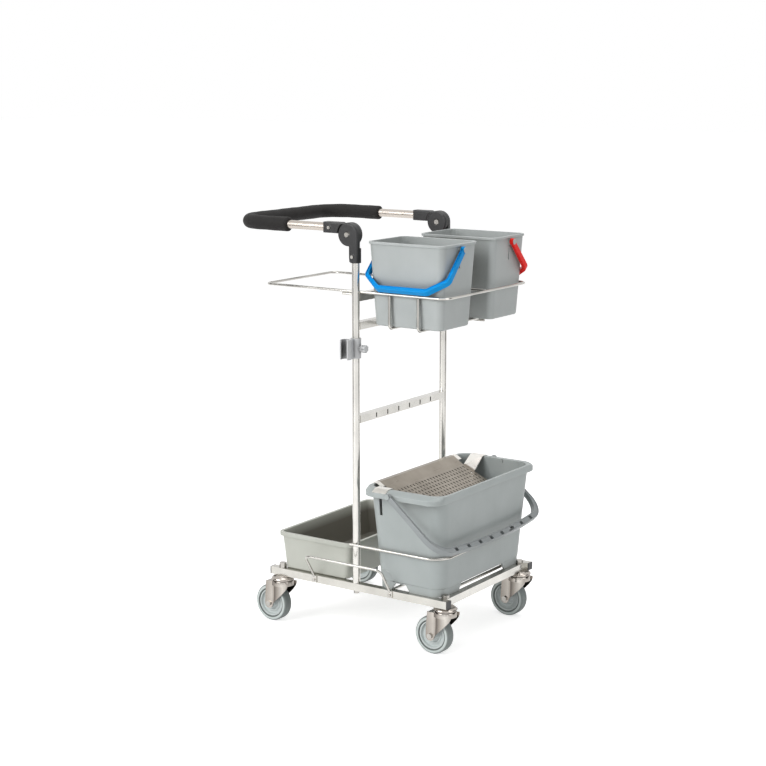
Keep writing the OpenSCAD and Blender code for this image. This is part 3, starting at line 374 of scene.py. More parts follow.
# The tray's inside gets painted shade.
tray_paint = plastic("tray_plastic", (186, 188, 179), (196, 198, 189), (0.36, 0.48), (212, 214, 207),
                     open_box_shade=(above_tray, tray_lip, (118, 115, 106)))
bail_paint = plastic("bail_plastic", (140, 145, 146), (152, 157, 158), satin, (182, 186, 187))
blue_paint = plastic("blue_plastic", (0, 142, 216), (0, 152, 226), glossy, (40, 168, 246),
                     depth=0.06, sheen=0.15)
red_paint = plastic("red_plastic", (238, 34, 30), (248, 44, 38), glossy, (250, 84, 74),
                    depth=0.06, sheen=0.15)
black_paint = plastic("black_plastic", (28, 28, 29), (38, 38, 39), (0.30, 0.44), (86, 86, 86), depth=0.10)
clip_paint = plastic("clip_plastic", (194, 195, 196), (206, 207, 208), satin, (222, 223, 224),
                     painted_recess_shade=(24, 24, 24), recess_reach=0.060)
hub_paint = plastic("hub_plastic", (196, 203, 202), (208, 215, 214), (0.32, 0.44), (224, 229, 228))
print("plastics:", len([m for m in bpy.data.materials if m.name.endswith("plastic")]))

# %% [markdown]
# The metals are all stainless steel, worked in different ways. Tubes are belt-brushed along their
# length, wire is drawn and electropolished, the castor forks are pressed from polished sheet, and
# the sieve is sheet that has kept its mill finish. Metallic is 1 for all of them, so the colour is
# what the reflection is tinted with, and roughness decides how sharp that reflection is.

# %% The metals
def open_metal(name, stretch, smears_per_metre):
    paint, net, shader = open_material(name)
    shader.inputs["Metallic"].default_value = 1.0
    surface = place_group(net, brush_group, {"Stretch": stretch, "Smears per metre": smears_per_metre})
    return paint, net, shader, surface


def place_on_part(net):
    return add_node(net, "ShaderNodeSeparateXYZ", {0: spot_on_part(net)}).outputs


def steel(name, dark, light, rough, stretch, depth=0.05, smears_per_metre=14.0, bright_ends=None):
    paint, net, shader, surface = open_metal(name, stretch, smears_per_metre)
    colour = mix_colours(net, between(net, surface["Tone"], 0.0, 1.0), dark, light)
    if bright_ends:
        start, bright_tone = bright_ends
        aside = maths(net, "ABSOLUTE", place_on_part(net)["Y"])
        # The strap ends get a brighter tone than the sheet.
        colour = mix_colours(net, remap(net, aside, start, start + 0.004), colour, bright_tone)
    link_finish(net, shader, colour, surface["Gloss"], rough, surface["Height"], depth, 0.0003)
    return paint


steel_dark = (194, 192, 187)
steel_light = (214, 212, 207)
tube_rough = (0.16, 0.28)
drawn = (260.0, 260.0, 260.0)
strap_start = 0.176
tube_along_x = steel("tube_along", (180, 178, 172), (200, 198, 192), tube_rough, (1.5, 700.0, 700.0))
tube_along_y = steel("tube_across", steel_dark, steel_light, tube_rough, (700.0, 1.5, 700.0))
tube_along_z = steel("tube_upright", steel_dark, steel_light, tube_rough, (700.0, 700.0, 1.5))
handle_paint = steel("handle_steel", (178, 170, 162), (198, 190, 182), (0.22, 0.30), (1.5, 500.0, 500.0),
                     depth=0.0, smears_per_metre=4.0)
wire_paint = steel("wire_steel", (172, 170, 165), (196, 194, 189), (0.10, 0.20), drawn, depth=0.03)
head_paint = steel("head_steel", (158, 151, 144), (190, 183, 176), (0.12, 0.24), drawn)
sieve_paint = steel("sheet_steel", (142, 134, 123), (164, 156, 145), (0.24, 0.38), (500.0, 10.0, 500.0),
                    depth=0.08, bright_ends=(strap_start, (236, 233, 227)))
fastener_paint = steel("fasteners", (160, 157, 152), (184, 181, 176), (0.18, 0.30), (240.0, 240.0, 240.0))
print("metals:", [m.name for m in bpy.data.materials if "steel" in m.name or "tube" in m.name])

# %% [markdown]
# Each castor has its own place, and two of its finishes follow that place. A fork is pressed sheet, and
# its light and shade are painted: a colour ramp along the leg paints shade along the crease and a
# highlight where the leg turns out again, and a mask paints shade between the legs.

# %% The castor forks' steel
def colour_bands(net, value, stops):
    """Colours at places from 0 to 1 along a value."""
    bands = add_node(net, "ShaderNodeValToRGB", {"Fac": value})
    marks = bands.color_ramp.elements
    ends = {0.0: 0, 1.0: -1}
    for place, tone in stops:
        mark = marks[ends[place]] if place in ends else marks.new(place)
        mark.color = screen_colour(*tone)
    return bands.outputs["Color"]


castor_places = {"front_near": (304, -187), "front_far": (304, 187),
                 "rear_near": (-198, -206), "rear_far": (-198, 206)}
crease_behind = 16
between_legs = 0.0193
under_crown = 0.1035
fork_shade_and_highlight = ((0.0, (150, 143, 136)), (0.30, (184, 178, 171)), (0.38, (160, 153, 146)), (0.41, (86, 80, 75)),
              (0.52, (138, 131, 124)), (0.80, (204, 199, 192)), (1.0, (166, 160, 154)))


def fork_steel(corner, crease, middle):
    paint, net, shader, surface = open_metal("pressed_steel_" + corner, (500.0, 500.0, 14.0), 14.0)
    place = place_on_part(net)
    # Painted shade along the crease, and a painted highlight where the leg turns out.
    bands = colour_bands(net, remap(net, place["X"], crease - 0.030, crease + 0.045), fork_shade_and_highlight)
    colour = mix_colours(net, between(net, surface["Tone"], 0.0, 0.3), bands, (128, 121, 114))
    # Painted shade between the legs, under the crown.
    aside = maths(net, "ABSOLUTE", maths(net, "SUBTRACT", place["Y"], middle))
    in_shade = maths(net, "MULTIPLY", maths(net, "LESS_THAN", aside, between_legs),
                     maths(net, "LESS_THAN", place["Z"], under_crown))
    colour = mix_colours(net, in_shade, colour, (52, 49, 46))
    link_finish(net, shader, colour, surface["Gloss"], (0.12, 0.24), surface["Height"], 0.05, 0.0003)
    return paint


fork_paints = {corner: fork_steel(corner, (x - crease_behind) * mm, y * mm)
               for corner, (x, y) in castor_places.items()}
print("fork finishes:", len(fork_paints))

# %% [markdown]
# ### Rings about an axle
# The tyres are grey non-marking rubber with a pale side wall. By the hub a dark ring paints the shade in
# the groove, and a darker ring paints shade on the tread. A group measures how far a point is from the
# axle, as a share of the tyre's depth, and a colour ramp turns that into rings that roll with the wheel.

# %% Group: rings about an axle
tyre_inner = 0.037
tyre_outer = 0.050
ring_group, ring_in = open_group(
    "wheel_rings", {"Axle": (0.0, 0.0, 0.0), "Inner": tyre_inner, "Outer": tyre_outer}, ("Share",))
from_axle = vectors(ring_group, "SUBTRACT", spot_on_part(ring_group), ring_in["Axle"])
ring_radius = vectors(ring_group, "LENGTH", vectors(ring_group, "MULTIPLY", from_axle, (1, 0, 1)))
close_group(ring_group, Share=remap(ring_group, ring_radius, ring_in["Inner"], ring_in["Outer"]))

# %% [markdown]
# The grip is closed-cell foam. Its skin is full of tiny pits, which a Voronoi pattern gives, and it has
# hardly any highlight. Rubber and foam share the plastics' grain, at a finer scale.

# %% Rubber and foam
trail = 32
axle_height = 50
# Painted shade: the dark groove ring and the dark tread ring; the side wall is the rubber's own pale grey.
tyre_rings_and_shade = ((0.0, (96, 105, 103)), (0.24, (104, 113, 111)), (0.32, (214, 222, 220)),
              (0.66, (206, 215, 213)), (0.80, (128, 136, 135)), (1.0, (122, 130, 129)))


def tyre_rubber(corner, axle):
    paint, net, shader = open_material("tyre_rubber_" + corner)
    surface = place_group(net, grain_group, {"Grain per metre": 1400.0, "Drift per metre": 40.0})
    ring = place_group(net, ring_group, {"Axle": axle, "Inner": tyre_inner, "Outer": tyre_outer})["Share"]
    bands = colour_bands(net, ring, tyre_rings_and_shade)
    # Dust from broad noise, over the painted ring shade.
    dust_and_ring_shade = mix_colours(net, between(net, surface["Tone"], 0.0, 0.22), bands, (150, 150, 146))
    link_finish(net, shader, dust_and_ring_shade, surface["Gloss"], (0.50, 0.70), surface["Height"], 0.2, 0.0006)
    return paint


def grip_foam():
    paint, net, shader = open_material("grip_foam")
    pits = add_node(net, "ShaderNodeTexVoronoi", {"Vector": spot_on_part(net), "Scale": 620.0}, feature="F1")
    surface = place_group(net, grain_group, {"Grain per metre": 1500.0, "Drift per metre": 25.0})
    colour = mix_colours(net, between(net, surface["Tone"], 0.0, 1.0), (17, 15, 14), (28, 26, 25))
    pitted = maths(net, "ADD", pits.outputs["Distance"], surface["Height"])
    link_finish(net, shader, colour, surface["Gloss"], (0.62, 0.85), pitted, 0.45, 0.0007)
    shader.inputs["Specular IOR Level"].default_value = 0.35
    return paint


tyre_paints = {corner: tyre_rubber(corner, ((x - trail) * mm, 0.0, axle_height * mm))
               for corner, (x, y) in castor_places.items()}
foam_paint = grip_foam()
print("rubber and foam:", len(tyre_paints), foam_paint.name)

# %% [markdown]
# ## Dressing the frame
# Tubes, wires, the sieve, the clip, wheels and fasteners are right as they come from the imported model,
# so they only get a finish. A tube gets the brushing that runs along it.

# %% Give each carried-over node its finish
def finish_node(name, paint):
    obj = nodes[name]
    if not obj.material_slots:
        obj.data.materials.append(paint)
    for place in obj.material_slots:
        place.material = paint


node_finishes = [
    (tube_along_x, "side_rail_near side_rail_far"),
    (tube_along_y, "front_cross_rail rear_cross_rail rest_rods"),
    (tube_along_y, "accessory_rail upper_carrier_bar lower_carrier_bar"),
    (tube_along_z, "post_near post_far"),
    (handle_paint, "handle_tube"),
    (wire_paint, "basket_ring basket_divider basket_cradle_wires basket_stays bag_ring bag_ring_stays"),
    (wire_paint, "bucket_guard_ring side_guard_near side_guard_far"),
    (black_paint, "rail_end_caps"),
    (clip_paint, "tool_clip clip_knob"),
    (fastener_paint, "post_bolts guard_screws castor_nuts hinge_pivot_bolts hinge_screws arm_screws"),
    (head_paint, "castor_heads"),
    (sieve_paint, "sieve"),
]
for corner in castor_places:
    node_finishes += [(fastener_paint, "axle_" + corner), (hub_paint, "hub_" + corner),
                      (tyre_paints[corner], "tyre_" + corner)]
finished = [(name, paint) for paint, names in node_finishes for name in names.split()]
for node_name, node_paint in finished:
    finish_node(node_name, node_paint)
print("nodes with a finish:", len(finished))

# %% [markdown]
# ## Buckets and tray
# The buckets and the tray are injection moulded: thin walls with draft, corners that grow rounder
# towards the top, and a rolled lip. A loft through rounded rectangles is the natural way to build
# them. It starts under the floor, climbs the outside, rolls over the lip, and goes down the inside to
# the floor, so the result is one closed skin.

# %% Loft a shell through rounded rectangles
def as_object(name, form):
    bmesh.ops.recalc_face_normals(form, faces=form.faces)
    mesh = bpy.data.meshes.new(name)
    form.to_mesh(mesh)
    form.free()
    obj = bpy.data.objects.new(name, mesh)
    bpy.context.scene.collection.objects.link(obj)
    return obj


def ring_body(name, rings, closed=False):
    """A skin over rings of points in millimetres: capped, or closed round to the first ring."""
    form = bmesh.new()
    loops = [[form.verts.new(Vector(point) * mm) for point in ring] for ring in rings]
    if closed:
        loops.append(loops[0])
    else:
        form.faces.new(loops[0])
        form.faces.new(reversed(loops[-1]))
    for first, second in zip(loops, loops[1:]):
        for i in range(len(first)):
            j = (i + 1) % len(first)
            form.faces.new((first[i], first[j], second[j], second[i]))
    return as_object(name, form)


def rounded_ring(half_x, half_y, corner, height, steps=12):
    points = []
    for turn, (side_x, side_y) in enumerate(((1, 1), (-1, 1), (-1, -1), (1, -1))):
        for step in range(steps + 1):
            angle = math.radians(90 * turn + 90 * step / steps)
            points.append(Vector((side_x * (half_x - corner) + corner * math.cos(angle),
                                  side_y * (half_y - corner) + corner * math.sin(angle), height)))
    return points


def moulded_shell(name, centre, rings):
    return ring_body(name, [[point + Vector(centre) for point in rounded_ring(*ring)] for ring in rings])

# %% [markdown]
# Cutters then open the arches and slots, and pins and ribs are joined on. A small bevel rounds every
# edge as a mould does. At the end, each piece gets its finish, rides on a body of the model, and takes
# the place of the plain nodes there.

# %% Cutters and additions
axes = (Vector((1, 0, 0)), Vector((0, 1, 0)), Vector((0, 0, 1)))
weld = 0.05 * mm


def full_turn(count):
    return [2 * math.pi * i / count for i in range(count)]


def prism(outline, push):
    """A closed block: an outline of points in millimetres, pushed along a way."""
    return ring_body("cutter", [outline, [Vector(point) + Vector(push) for point in outline]])


def block(low, high):
    """A straight block between two opposite corners."""
    (x, y, z), (far_x, far_y, far_z) = low, high
    return prism([(x, y, z), (far_x, y, z), (far_x, far_y, z), (x, far_y, z)], (0, 0, far_z - z))


def rod(start, push, radius):
    """A round bar from the middle of one end, pushed along one of the axes."""
    first, second = (way for way in axes if not way.dot(Vector(push)))
    return prism([Vector(start) + radius * (first * math.cos(t) + second * math.sin(t))
                  for t in full_turn(40)], push)


def carve(obj, cutters, operation="DIFFERENCE"):
    for cutter in cutters:
        change = obj.modifiers.new("carve", "BOOLEAN")
        change.object = cutter
        change.operation = operation
        change.solver = "EXACT"
    graph = bpy.context.evaluated_depsgraph_get()
    carved = bpy.data.meshes.new_from_object(obj.evaluated_get(graph))
    obj.modifiers.clear()
    obj.data = carved
    form = bmesh.new()
    form.from_mesh(carved)
    bmesh.ops.remove_doubles(form, verts=form.verts, dist=weld)
    bmesh.ops.dissolve_degenerate(form, edges=form.edges, dist=weld)
    form.to_mesh(carved)
    form.free()
    for cutter in cutters:
        bpy.data.objects.remove(cutter)


def moulded_edges(obj, width, sharp_angle=30):
    for face in obj.data.polygons:
        face.use_smooth = True
    bevel = obj.modifiers.new("moulded_edges", "BEVEL")
    bevel.width = width * mm
    bevel.segments = 3
    bevel.limit_method = "ANGLE"
    bevel.angle_limit = math.radians(sharp_angle)
    bevel.use_clamp_overlap = False
    bevel.miter_outer = "MITER_ARC"
    obj.modifiers.new("flat_faces", "WEIGHTED_NORMAL").keep_sharp = True


def settle(obj, paint, slot, body, *replaced):
    obj.data.materials.clear()
    obj.data.materials.append(paint)
    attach(obj, body)
    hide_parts(*replaced)
    print(obj.name, "faces:", len(obj.data.polygons))

# %% [markdown]
# ### The small buckets
# Each small bucket has a shallow hollow under its foot, a rounded lip, and a pin with a washer head at
# each end, on which its bail turns. A short slot below the pin lets the wringer hook in.

# %% Model the small buckets
small_middle = (187.0, 120.0)
small_rings = [  # half length, half width, corner radius, height
    (85, 55, 14, 830), (85, 55, 14, 828), (97, 67, 15, 828), (100, 70, 17, 831), (104.2, 74, 17.5, 903),
    (108.2, 77.6, 18, 975), (111.7, 80.7, 18.5, 1034), (115, 84, 21, 1034), (115, 84, 21, 1040),
    (109, 78, 16, 1040), (105.4, 74.7, 15.5, 975), (101.4, 71, 15, 903), (97.4, 67.4, 14.5, 836),
    (93.5, 63.5, 12, 833),
]
pin_height = 1025.0
small_pin = ((110, 5, 8.5), (110, 15.3, 5), (125.3, 2, 7))  # start, length, radius: boss, pin, head
slot_in, slot_out, slot_low, slot_high = 95, 117, 978, 1008
sides = ((-1, "near"), (1, "far"))
for side, side_name in sides:
    x, y = small_middle[0], side * small_middle[1]
    bucket = moulded_shell("bucket_small_" + side_name, (x, y, 0), small_rings)
    slots = []
    pins = []
    for end in (-1, 1):
        slots.append(block((x + end * slot_in, y - 3, slot_low), (x + end * slot_out, y + 3, slot_high)))
        pins += [rod((x + end * start, y, pin_height), (end * length, 0, 0), radius)
                 for start, length, radius in small_pin]
    carve(bucket, slots)
    carve(bucket, pins, "UNION")
    moulded_edges(bucket, 0.7)
    settle(bucket, bucket_paint, "bucket_plastic", "small_bucket_" + side_name, "small_bucket_" + side_name)

# %% [markdown]
# ### The large bucket
# The large bucket stands on a skirt with an arch in each side. Its wide lip hangs over at the ends,
# where ribs stiffen it and the bail's pins sit. The loft goes into the hollow lip and out again, so
# the overhang is really open underneath.

# %% Model the large bucket
large_x = 203.0
large_rings = [
    (90, 198, 26, 170), (90, 198, 26, 150), (96, 204, 32, 150), (96, 204, 32, 171), (99, 205, 36, 172),
    (106.4, 216.4, 38.0, 295), (113.2, 226.8, 36.0, 409), (114, 250, 36, 409), (114, 250, 36, 400),
    (116, 253, 38, 400), (116, 253, 38, 412), (116, 238, 36, 420), (109, 225, 35, 420),
    (102.5, 213.4, 35.5, 295), (96.4, 202.6, 33, 178), (92.5, 198.5, 30, 174),
]
large_bucket = moulded_shell("bucket_large", (large_x, 0, 0), large_rings)
large_pivot = Vector((177, 0, 409))
large_pin = ((251, 13, 5), (263.5, 2, 7))
skirt_foot = 150
arch_height = 18
arch_slant = 12
rib_places = (-70, 20, 70)
rib_thick = 2
slot_x = large_x - 72


def arch_outline(half_width, along, start):
    top_half = half_width - arch_slant
    outline = [(-half_width, -10), (half_width, -10), (half_width, 0), (top_half, arch_height),
               (-top_half, arch_height), (-half_width, 0)]
    return [Vector(start) + Vector(along) * u + Vector((0, 0, skirt_foot + v)) for u, v in outline]


openings = [prism(arch_outline(27.5, (1, 0, 0), (large_x - 24, -300, 0)), (0, 600, 0)),
            prism(arch_outline(115, (0, 1, 0), (large_x - 150, 0, 0)), (300, 0, 0))]
fittings = []
for side in (-1, 1):
    openings.append(block((slot_x - 4, side * 200, 347), (slot_x + 4, side * 240, 391)))
    openings.append(rod((slot_x, side * 204.5, 175), (0, side * 20, 0), 26))
    fittings += [block((large_x + rib, side * 224, 400), (large_x + rib + rib_thick, side * 252, 411))
                 for rib in rib_places]
    fittings += [rod(large_pivot + Vector((0, side * start, 0)), (0, side * length, 0), radius)
                 for start, length, radius in large_pin]
carve(large_bucket, openings)
carve(large_bucket, fittings, "UNION")
moulded_edges(large_bucket, 0.9)
settle(large_bucket, large_bucket_paint, "bucket_plastic", "large_bucket", "large_bucket", "large_bucket_foot")

# %% [markdown]
# ### The tray
# The tray sits on the rest rods behind the large bucket. It has the same draft and a flat lip all
# round, a little narrower at the foot.

# %% Model the tray
tray_rings = [
    (99, 198, 12, 150), (102.5, 202, 15, 153), (108.6, 203.4, 16, 200), (113.8, 204.8, 17, 238.5),
    (121, 211, 21, 238.5), (121, 211, 21, 249), (112, 202, 14, 249), (105.7, 200.4, 13, 200),
    (99.7, 199, 12, 156), (96, 195, 10, 153),
]
tray = moulded_shell("tray_shell", (-92.0, 0, 0), tray_rings)
moulded_edges(tray, 0.8)
settle(tray, tray_paint, "tray_plastic", "tray", "tray")

# %% [markdown]
# ## The bails
# A bail is a moulded strap bent into a U, with an eye at each end that turns on the bucket's pin. Its
# corners are soft bends, not mitres, and a shallow channel along its upper face saves material and
# stiffens it. A section swept along a rounded line gives all of that in one closed form, which a
# straight extrusion can't.

# %% Sweep a strap along a flat line
def rounded_line(points, radius, steps=7):
    """A flat line of points whose inner corners are rounded to a radius."""
    line = [Vector(points[0])]
    for before, corner, after in zip(points, points[1:], points[2:]):
        corner = Vector(corner)
        back = (Vector(before) - corner).normalized()
        onward = (Vector(after) - corner).normalized()
        half = back.angle(onward) / 2
        centre = corner + (back + onward).normalized() * radius / math.sin(half)
        first = corner + back * radius / math.tan(half) - centre
        last = corner + onward * radius / math.tan(half) - centre
        line += [centre + first.slerp(last, i / steps) * radius for i in range(steps + 1)]
    return line + [Vector(points[-1])]


def strap_section(width, thick, channel=2.4, lip=2.2, slope=0.6, edge=1.3):
    """A strap's outline: its width in the plane of the bail, its thickness across, a channel on top."""
    w, t = width / 2, thick / 2
    return [(w, edge - t), (w, t - edge), (w - edge, t), (w - lip, t), (w - lip - slope, t - channel),
            (lip + slope - w, t - channel), (lip - w, t), (edge - w, t), (-w, t - edge), (-w, edge - t),
            (edge - w, -t), (w - edge, -t)]


def share_of(value, start, span):
    """How far a value is along a span, from 0 to 1."""
    return min(max((value - start) / span, 0), 1)


def swept_strap(name, line, growth, pivot, along, outward, across):
    """A strap along a line. Growth says where it grows from its arms to its grip, and by how much."""
    start, span, wider, thicker = growth
    rings = []
    for i, point in enumerate(line):
        way = (line[min(i + 1, len(line) - 1)] - line[max(i - 1, 0)]).normalized()
        side = Vector((-way.y, way.x))
        share = share_of(point.y, start, span)
        flat = [(point + side * shift, lift)
                for shift, lift in strap_section(9 + wider * share, 14 + thicker * share)]
        rings.append([pivot + along * spot.x + outward * spot.y + across * lift for spot, lift in flat])
    return ring_body(name, rings)


def eye_blocks(ends, axis, half_width, radius):
    return [rod(end - axis * half_width, axis * 2 * half_width, radius) for end in ends]


eye_half, eye_hole_half, eye_hole_radius = 4.5, 9, 5.1
print("strap section points:", len(strap_section(9, 14)))

# %% [markdown]
# ### The coloured bails
# Blue marks the bucket for clean water and red the one for used water. Both bails hang outwards, at
# rest on the wire ring's height, and are broad enough for a hand.

# %% Model the coloured bails
small_droop = math.radians(47)
small_arm = 120.3
small_line = rounded_line([(-small_arm, 0), (-small_arm, 100), (-72.2, 136), (72.2, 136), (small_arm, 100),
                           (small_arm, 0)], 16)
small_growth = (70, 45, 3, 3)
forward = axes[0]
for (side, side_name), hue, strap_paint in zip(sides, ("blue", "red"), (blue_paint, red_paint)):
    pivot = Vector((small_middle[0], side * small_middle[1], pin_height))
    outward = Vector((0, side * math.cos(small_droop), -math.sin(small_droop)))
    across = Vector((0, side * math.sin(small_droop), math.cos(small_droop)))
    strap = swept_strap("bail_small_" + side_name, small_line, small_growth, pivot, forward, outward, across)
    ends = [pivot + forward * end * small_arm for end in (-1, 1)]
    carve(strap, eye_blocks(ends, forward, eye_half, 8.5), "UNION")
    carve(strap, eye_blocks(ends, forward, eye_hole_half, eye_hole_radius))
    moulded_edges(strap, 0.6)
    settle(strap, strap_paint, hue + "_plastic", "small_bail_" + side_name, "small_bail_" + side_name)

# %% [markdown]
# ### The large bail
# The large bucket is heavy, so its bail is a deep strap. Its grip bows forwards, and a row of square
# pockets runs along it, as wide as the fingers of a glove.

# %% Model the large bail
large_droop = math.radians(40)
large_arm = 258.5
large_growth = (120, 70, 8.5, 2)
bend_radius = 62.0
bend_start = 140.0
grip_reach = 211.5
grip_half = large_arm - bend_radius
bow = grip_reach - bend_start - bend_radius
pocket_pitch = 53.0
pocket_count = 8


def bowed(y):
    return grip_reach - bow * (y / grip_half) ** 2


half_line = [Vector((large_arm, 0)), Vector((large_arm, bend_start / 2))]
for step in range(11):
    turn = math.radians(8 * step)
    half_line.append(Vector((grip_half + bend_radius * math.cos(turn),
                             bend_start + bend_radius * math.sin(turn))))
half_line += [Vector((y, bowed(y))) for y in (172, 159, 106, 53, 0)]
large_line = [Vector((-p.x, p.y)) for p in half_line] + half_line[-2::-1]

outward = Vector((math.cos(large_droop), 0, -math.sin(large_droop)))
across = Vector((math.sin(large_droop), 0, math.cos(large_droop)))
sideways = axes[1]
large_strap = swept_strap("bail_large", large_line, large_growth, large_pivot, sideways, outward, across)
ends = [large_pivot + sideways * end * large_arm for end in (-1, 1)]
carve(large_strap, eye_blocks(ends, sideways, eye_half, 9), "UNION")
hollows = eye_blocks(ends, sideways, eye_hole_half, eye_hole_radius)
for step in range(pocket_count):
    y = pocket_pitch * (step - (pocket_count - 1) / 2)
    middle = large_pivot + sideways * y + outward * bowed(y)
    corners = [middle + sideways * a * 6.5 + outward * b * 5 + across * 12
               for a, b in ((-1, -1), (1, -1), (1, 1), (-1, 1))]
    hollows.append(prism(corners, across * -15))
carve(large_strap, hollows)
moulded_edges(large_strap, 0.7)
settle(large_strap, bail_paint, "bail_plastic", "large_bail", "large_bail")

# %% [markdown]
# ## The castor forks
# A fork is pressed from one sheet. Its crown turns under the head, and two broad legs lean back to the
# axle. A crease down each leg makes the thin sheet stiff, and it is what catches the light. A leg is a
# stack of thin outlines, pulled in along the crease, and the crown is turned on a lathe of angles.
# Shading is smooth, and edges that turn sharply stay crisp, so that the crown looks round and the
# sheet looks cut.

# %% Build a fork from legs, bridge and crown
sheet = 3.0
leg_face = 22.0
crease_depth = 2.2
leg_rows = [  # height, rear edge, front edge
    (113, -41, 29), (108, -41.4, 29.5), (100, -42, 27), (90, -42.8, 20), (80, -43.6, 11), (70, -44.3, 0.5),
    (62, -44.7, -8), (55, -44.9, -15.2), (50, -45, -19), (45, -44, -20), (41, -41.4, -22.6),
    (38.4, -37.9, -26.1), (37.2, -34.3, -29.7),
]
crown_profile = [  # radius, height
    (5.6, 110), (27, 109.5), (27, 103), (30, 103), (30, 114), (29, 116.4), (26.5, 117.5), (5.6, 117.5)]
bridge_low, bridge_high = Vector((-40.6, -21.4, 107.6)), Vector((0, 21.4, 112.3))


def fork_leg(side, place):
    """Outlines of ten points: five along the outer face, the third on the crease, and five back."""
    rings = []
    for height, left, right in leg_rows:
        width = right - left
        crease = min(max(-crease_behind, left + 0.3 * width), right - 0.2 * width)
        pull = crease_depth * share_of(height, 57, 20)
        row = [(left, 0), ((left + crease) / 2, pull * 0.1), (crease, pull),
               ((crease + right) / 2, pull * 0.2), (right, 0)]
        outer, inner = ([place + Vector((x, side * (leg_face - depth - inward), height)) for x, inward in row]
                        for depth in (0, sheet))
        rings.append(outer + inner[::-1])
    return ring_body("fork_leg", rings)


def fork_crown(name, place):
    return ring_body(name, [[place + Vector((r * math.cos(t), r * math.sin(t), z)) for t in full_turn(56)]
                            for r, z in crown_profile], closed=True)


def smooth_shading(obj, sharp_angle=32):
    obj.data.shade_smooth()
    obj.data.set_sharp_from_angle(angle=math.radians(sharp_angle))


for corner, (x, y) in castor_places.items():
    place = Vector((x, y, 0))
    fork = fork_crown("castor_fork_" + corner, place)
    bridge = block(place + bridge_low, place + bridge_high)
    carve(fork, [fork_leg(-1, place), fork_leg(1, place), bridge], "UNION")
    smooth_shading(fork)
    settle(fork, fork_paints[corner], "pressed_steel", "castor_" + corner, "fork_" + corner)

# %% [markdown]
# ## The folding hinges
# Each hinge is a pair of moulded knuckles on one bolt. The one on the post carries the round cheek that
# shows outside and runs down into the socket. The one on the handle ends in an arc around that cheek,
# with a second cheek behind it. Outlines of lines and arcs, pushed through and rounded, give both.

# %% Outlines and rounded blocks for the hinges
hinge_x, hinge_z = 27, 1055
cheek_radius = 30.0


def arc_points(radius, first, last, steps=28):
    turns = [math.radians(first + (last - first) * i / steps) for i in range(steps + 1)]
    return [(hinge_x + radius * math.cos(t), hinge_z + radius * math.sin(t)) for t in turns]


def inset_outline(outline, inset):
    """The outline moved inwards, along the bisector at each corner."""
    count = len(outline)
    area = sum(a[0] * b[1] - b[0] * a[1] for a, b in zip(outline, outline[1:] + outline[:1]))
    moved = []
    for i in range(count):
        before, here, after = (Vector(outline[j % count]) for j in (i - 1, i, i + 1))
        first, second = (math.copysign(1, area) * Vector((-(b - a).y, (b - a).x)).normalized()
                         for a, b in ((before, here), (here, after)))
        bisector = (first + second).normalized()
        moved.append(here + bisector * inset / max(bisector.dot(first), 0.5))
    return moved


def pillow_block(name, outline, face_y, back_y, face_edge, back_edge=0.0):
    """A block across the trolley with rounded rims on its face and its back."""
    toward = math.copysign(1, back_y - face_y)
    quarter = [math.pi / 8 * i for i in range(5)]
    layers = [(face_edge * (1 - math.sin(t)), face_y + toward * face_edge * (1 - math.cos(t)))
              for t in quarter]
    layers += [(back_edge * (1 - math.sin(t)), back_y - toward * back_edge * (1 - math.cos(t)))
               for t in (reversed(quarter) if back_edge else quarter[-1:])]
    return ring_body(name, [[(spot.x, y, spot.y) for spot in inset_outline(outline, inset)]
                            for inset, y in layers])


socket_outline = [(31, 985.5), (55, 985.5), (56.6, 1000)] + arc_points(cheek_radius, 0, 275.4) + [(30, 1000)]
arm_outline = [(-49, 1056), (-49, 1084), (2, 1084)] + arc_points(31.6, 128, 178.2, 5)
inner_outline = arc_points(cheek_radius, 0, 351, 39)
web_outline = [(-20, 1057), (8, 1057), (8, 1079), (-20, 1081)]
print("outline points:", len(socket_outline), len(arm_outline), len(inner_outline))

# %% [markdown]
# The post's knuckle gets a round barrel with the bore for the post. The handle's knuckle gets the bore
# for its tube and a pocket for the nut. Both have a flat pad under the screw that locks them.

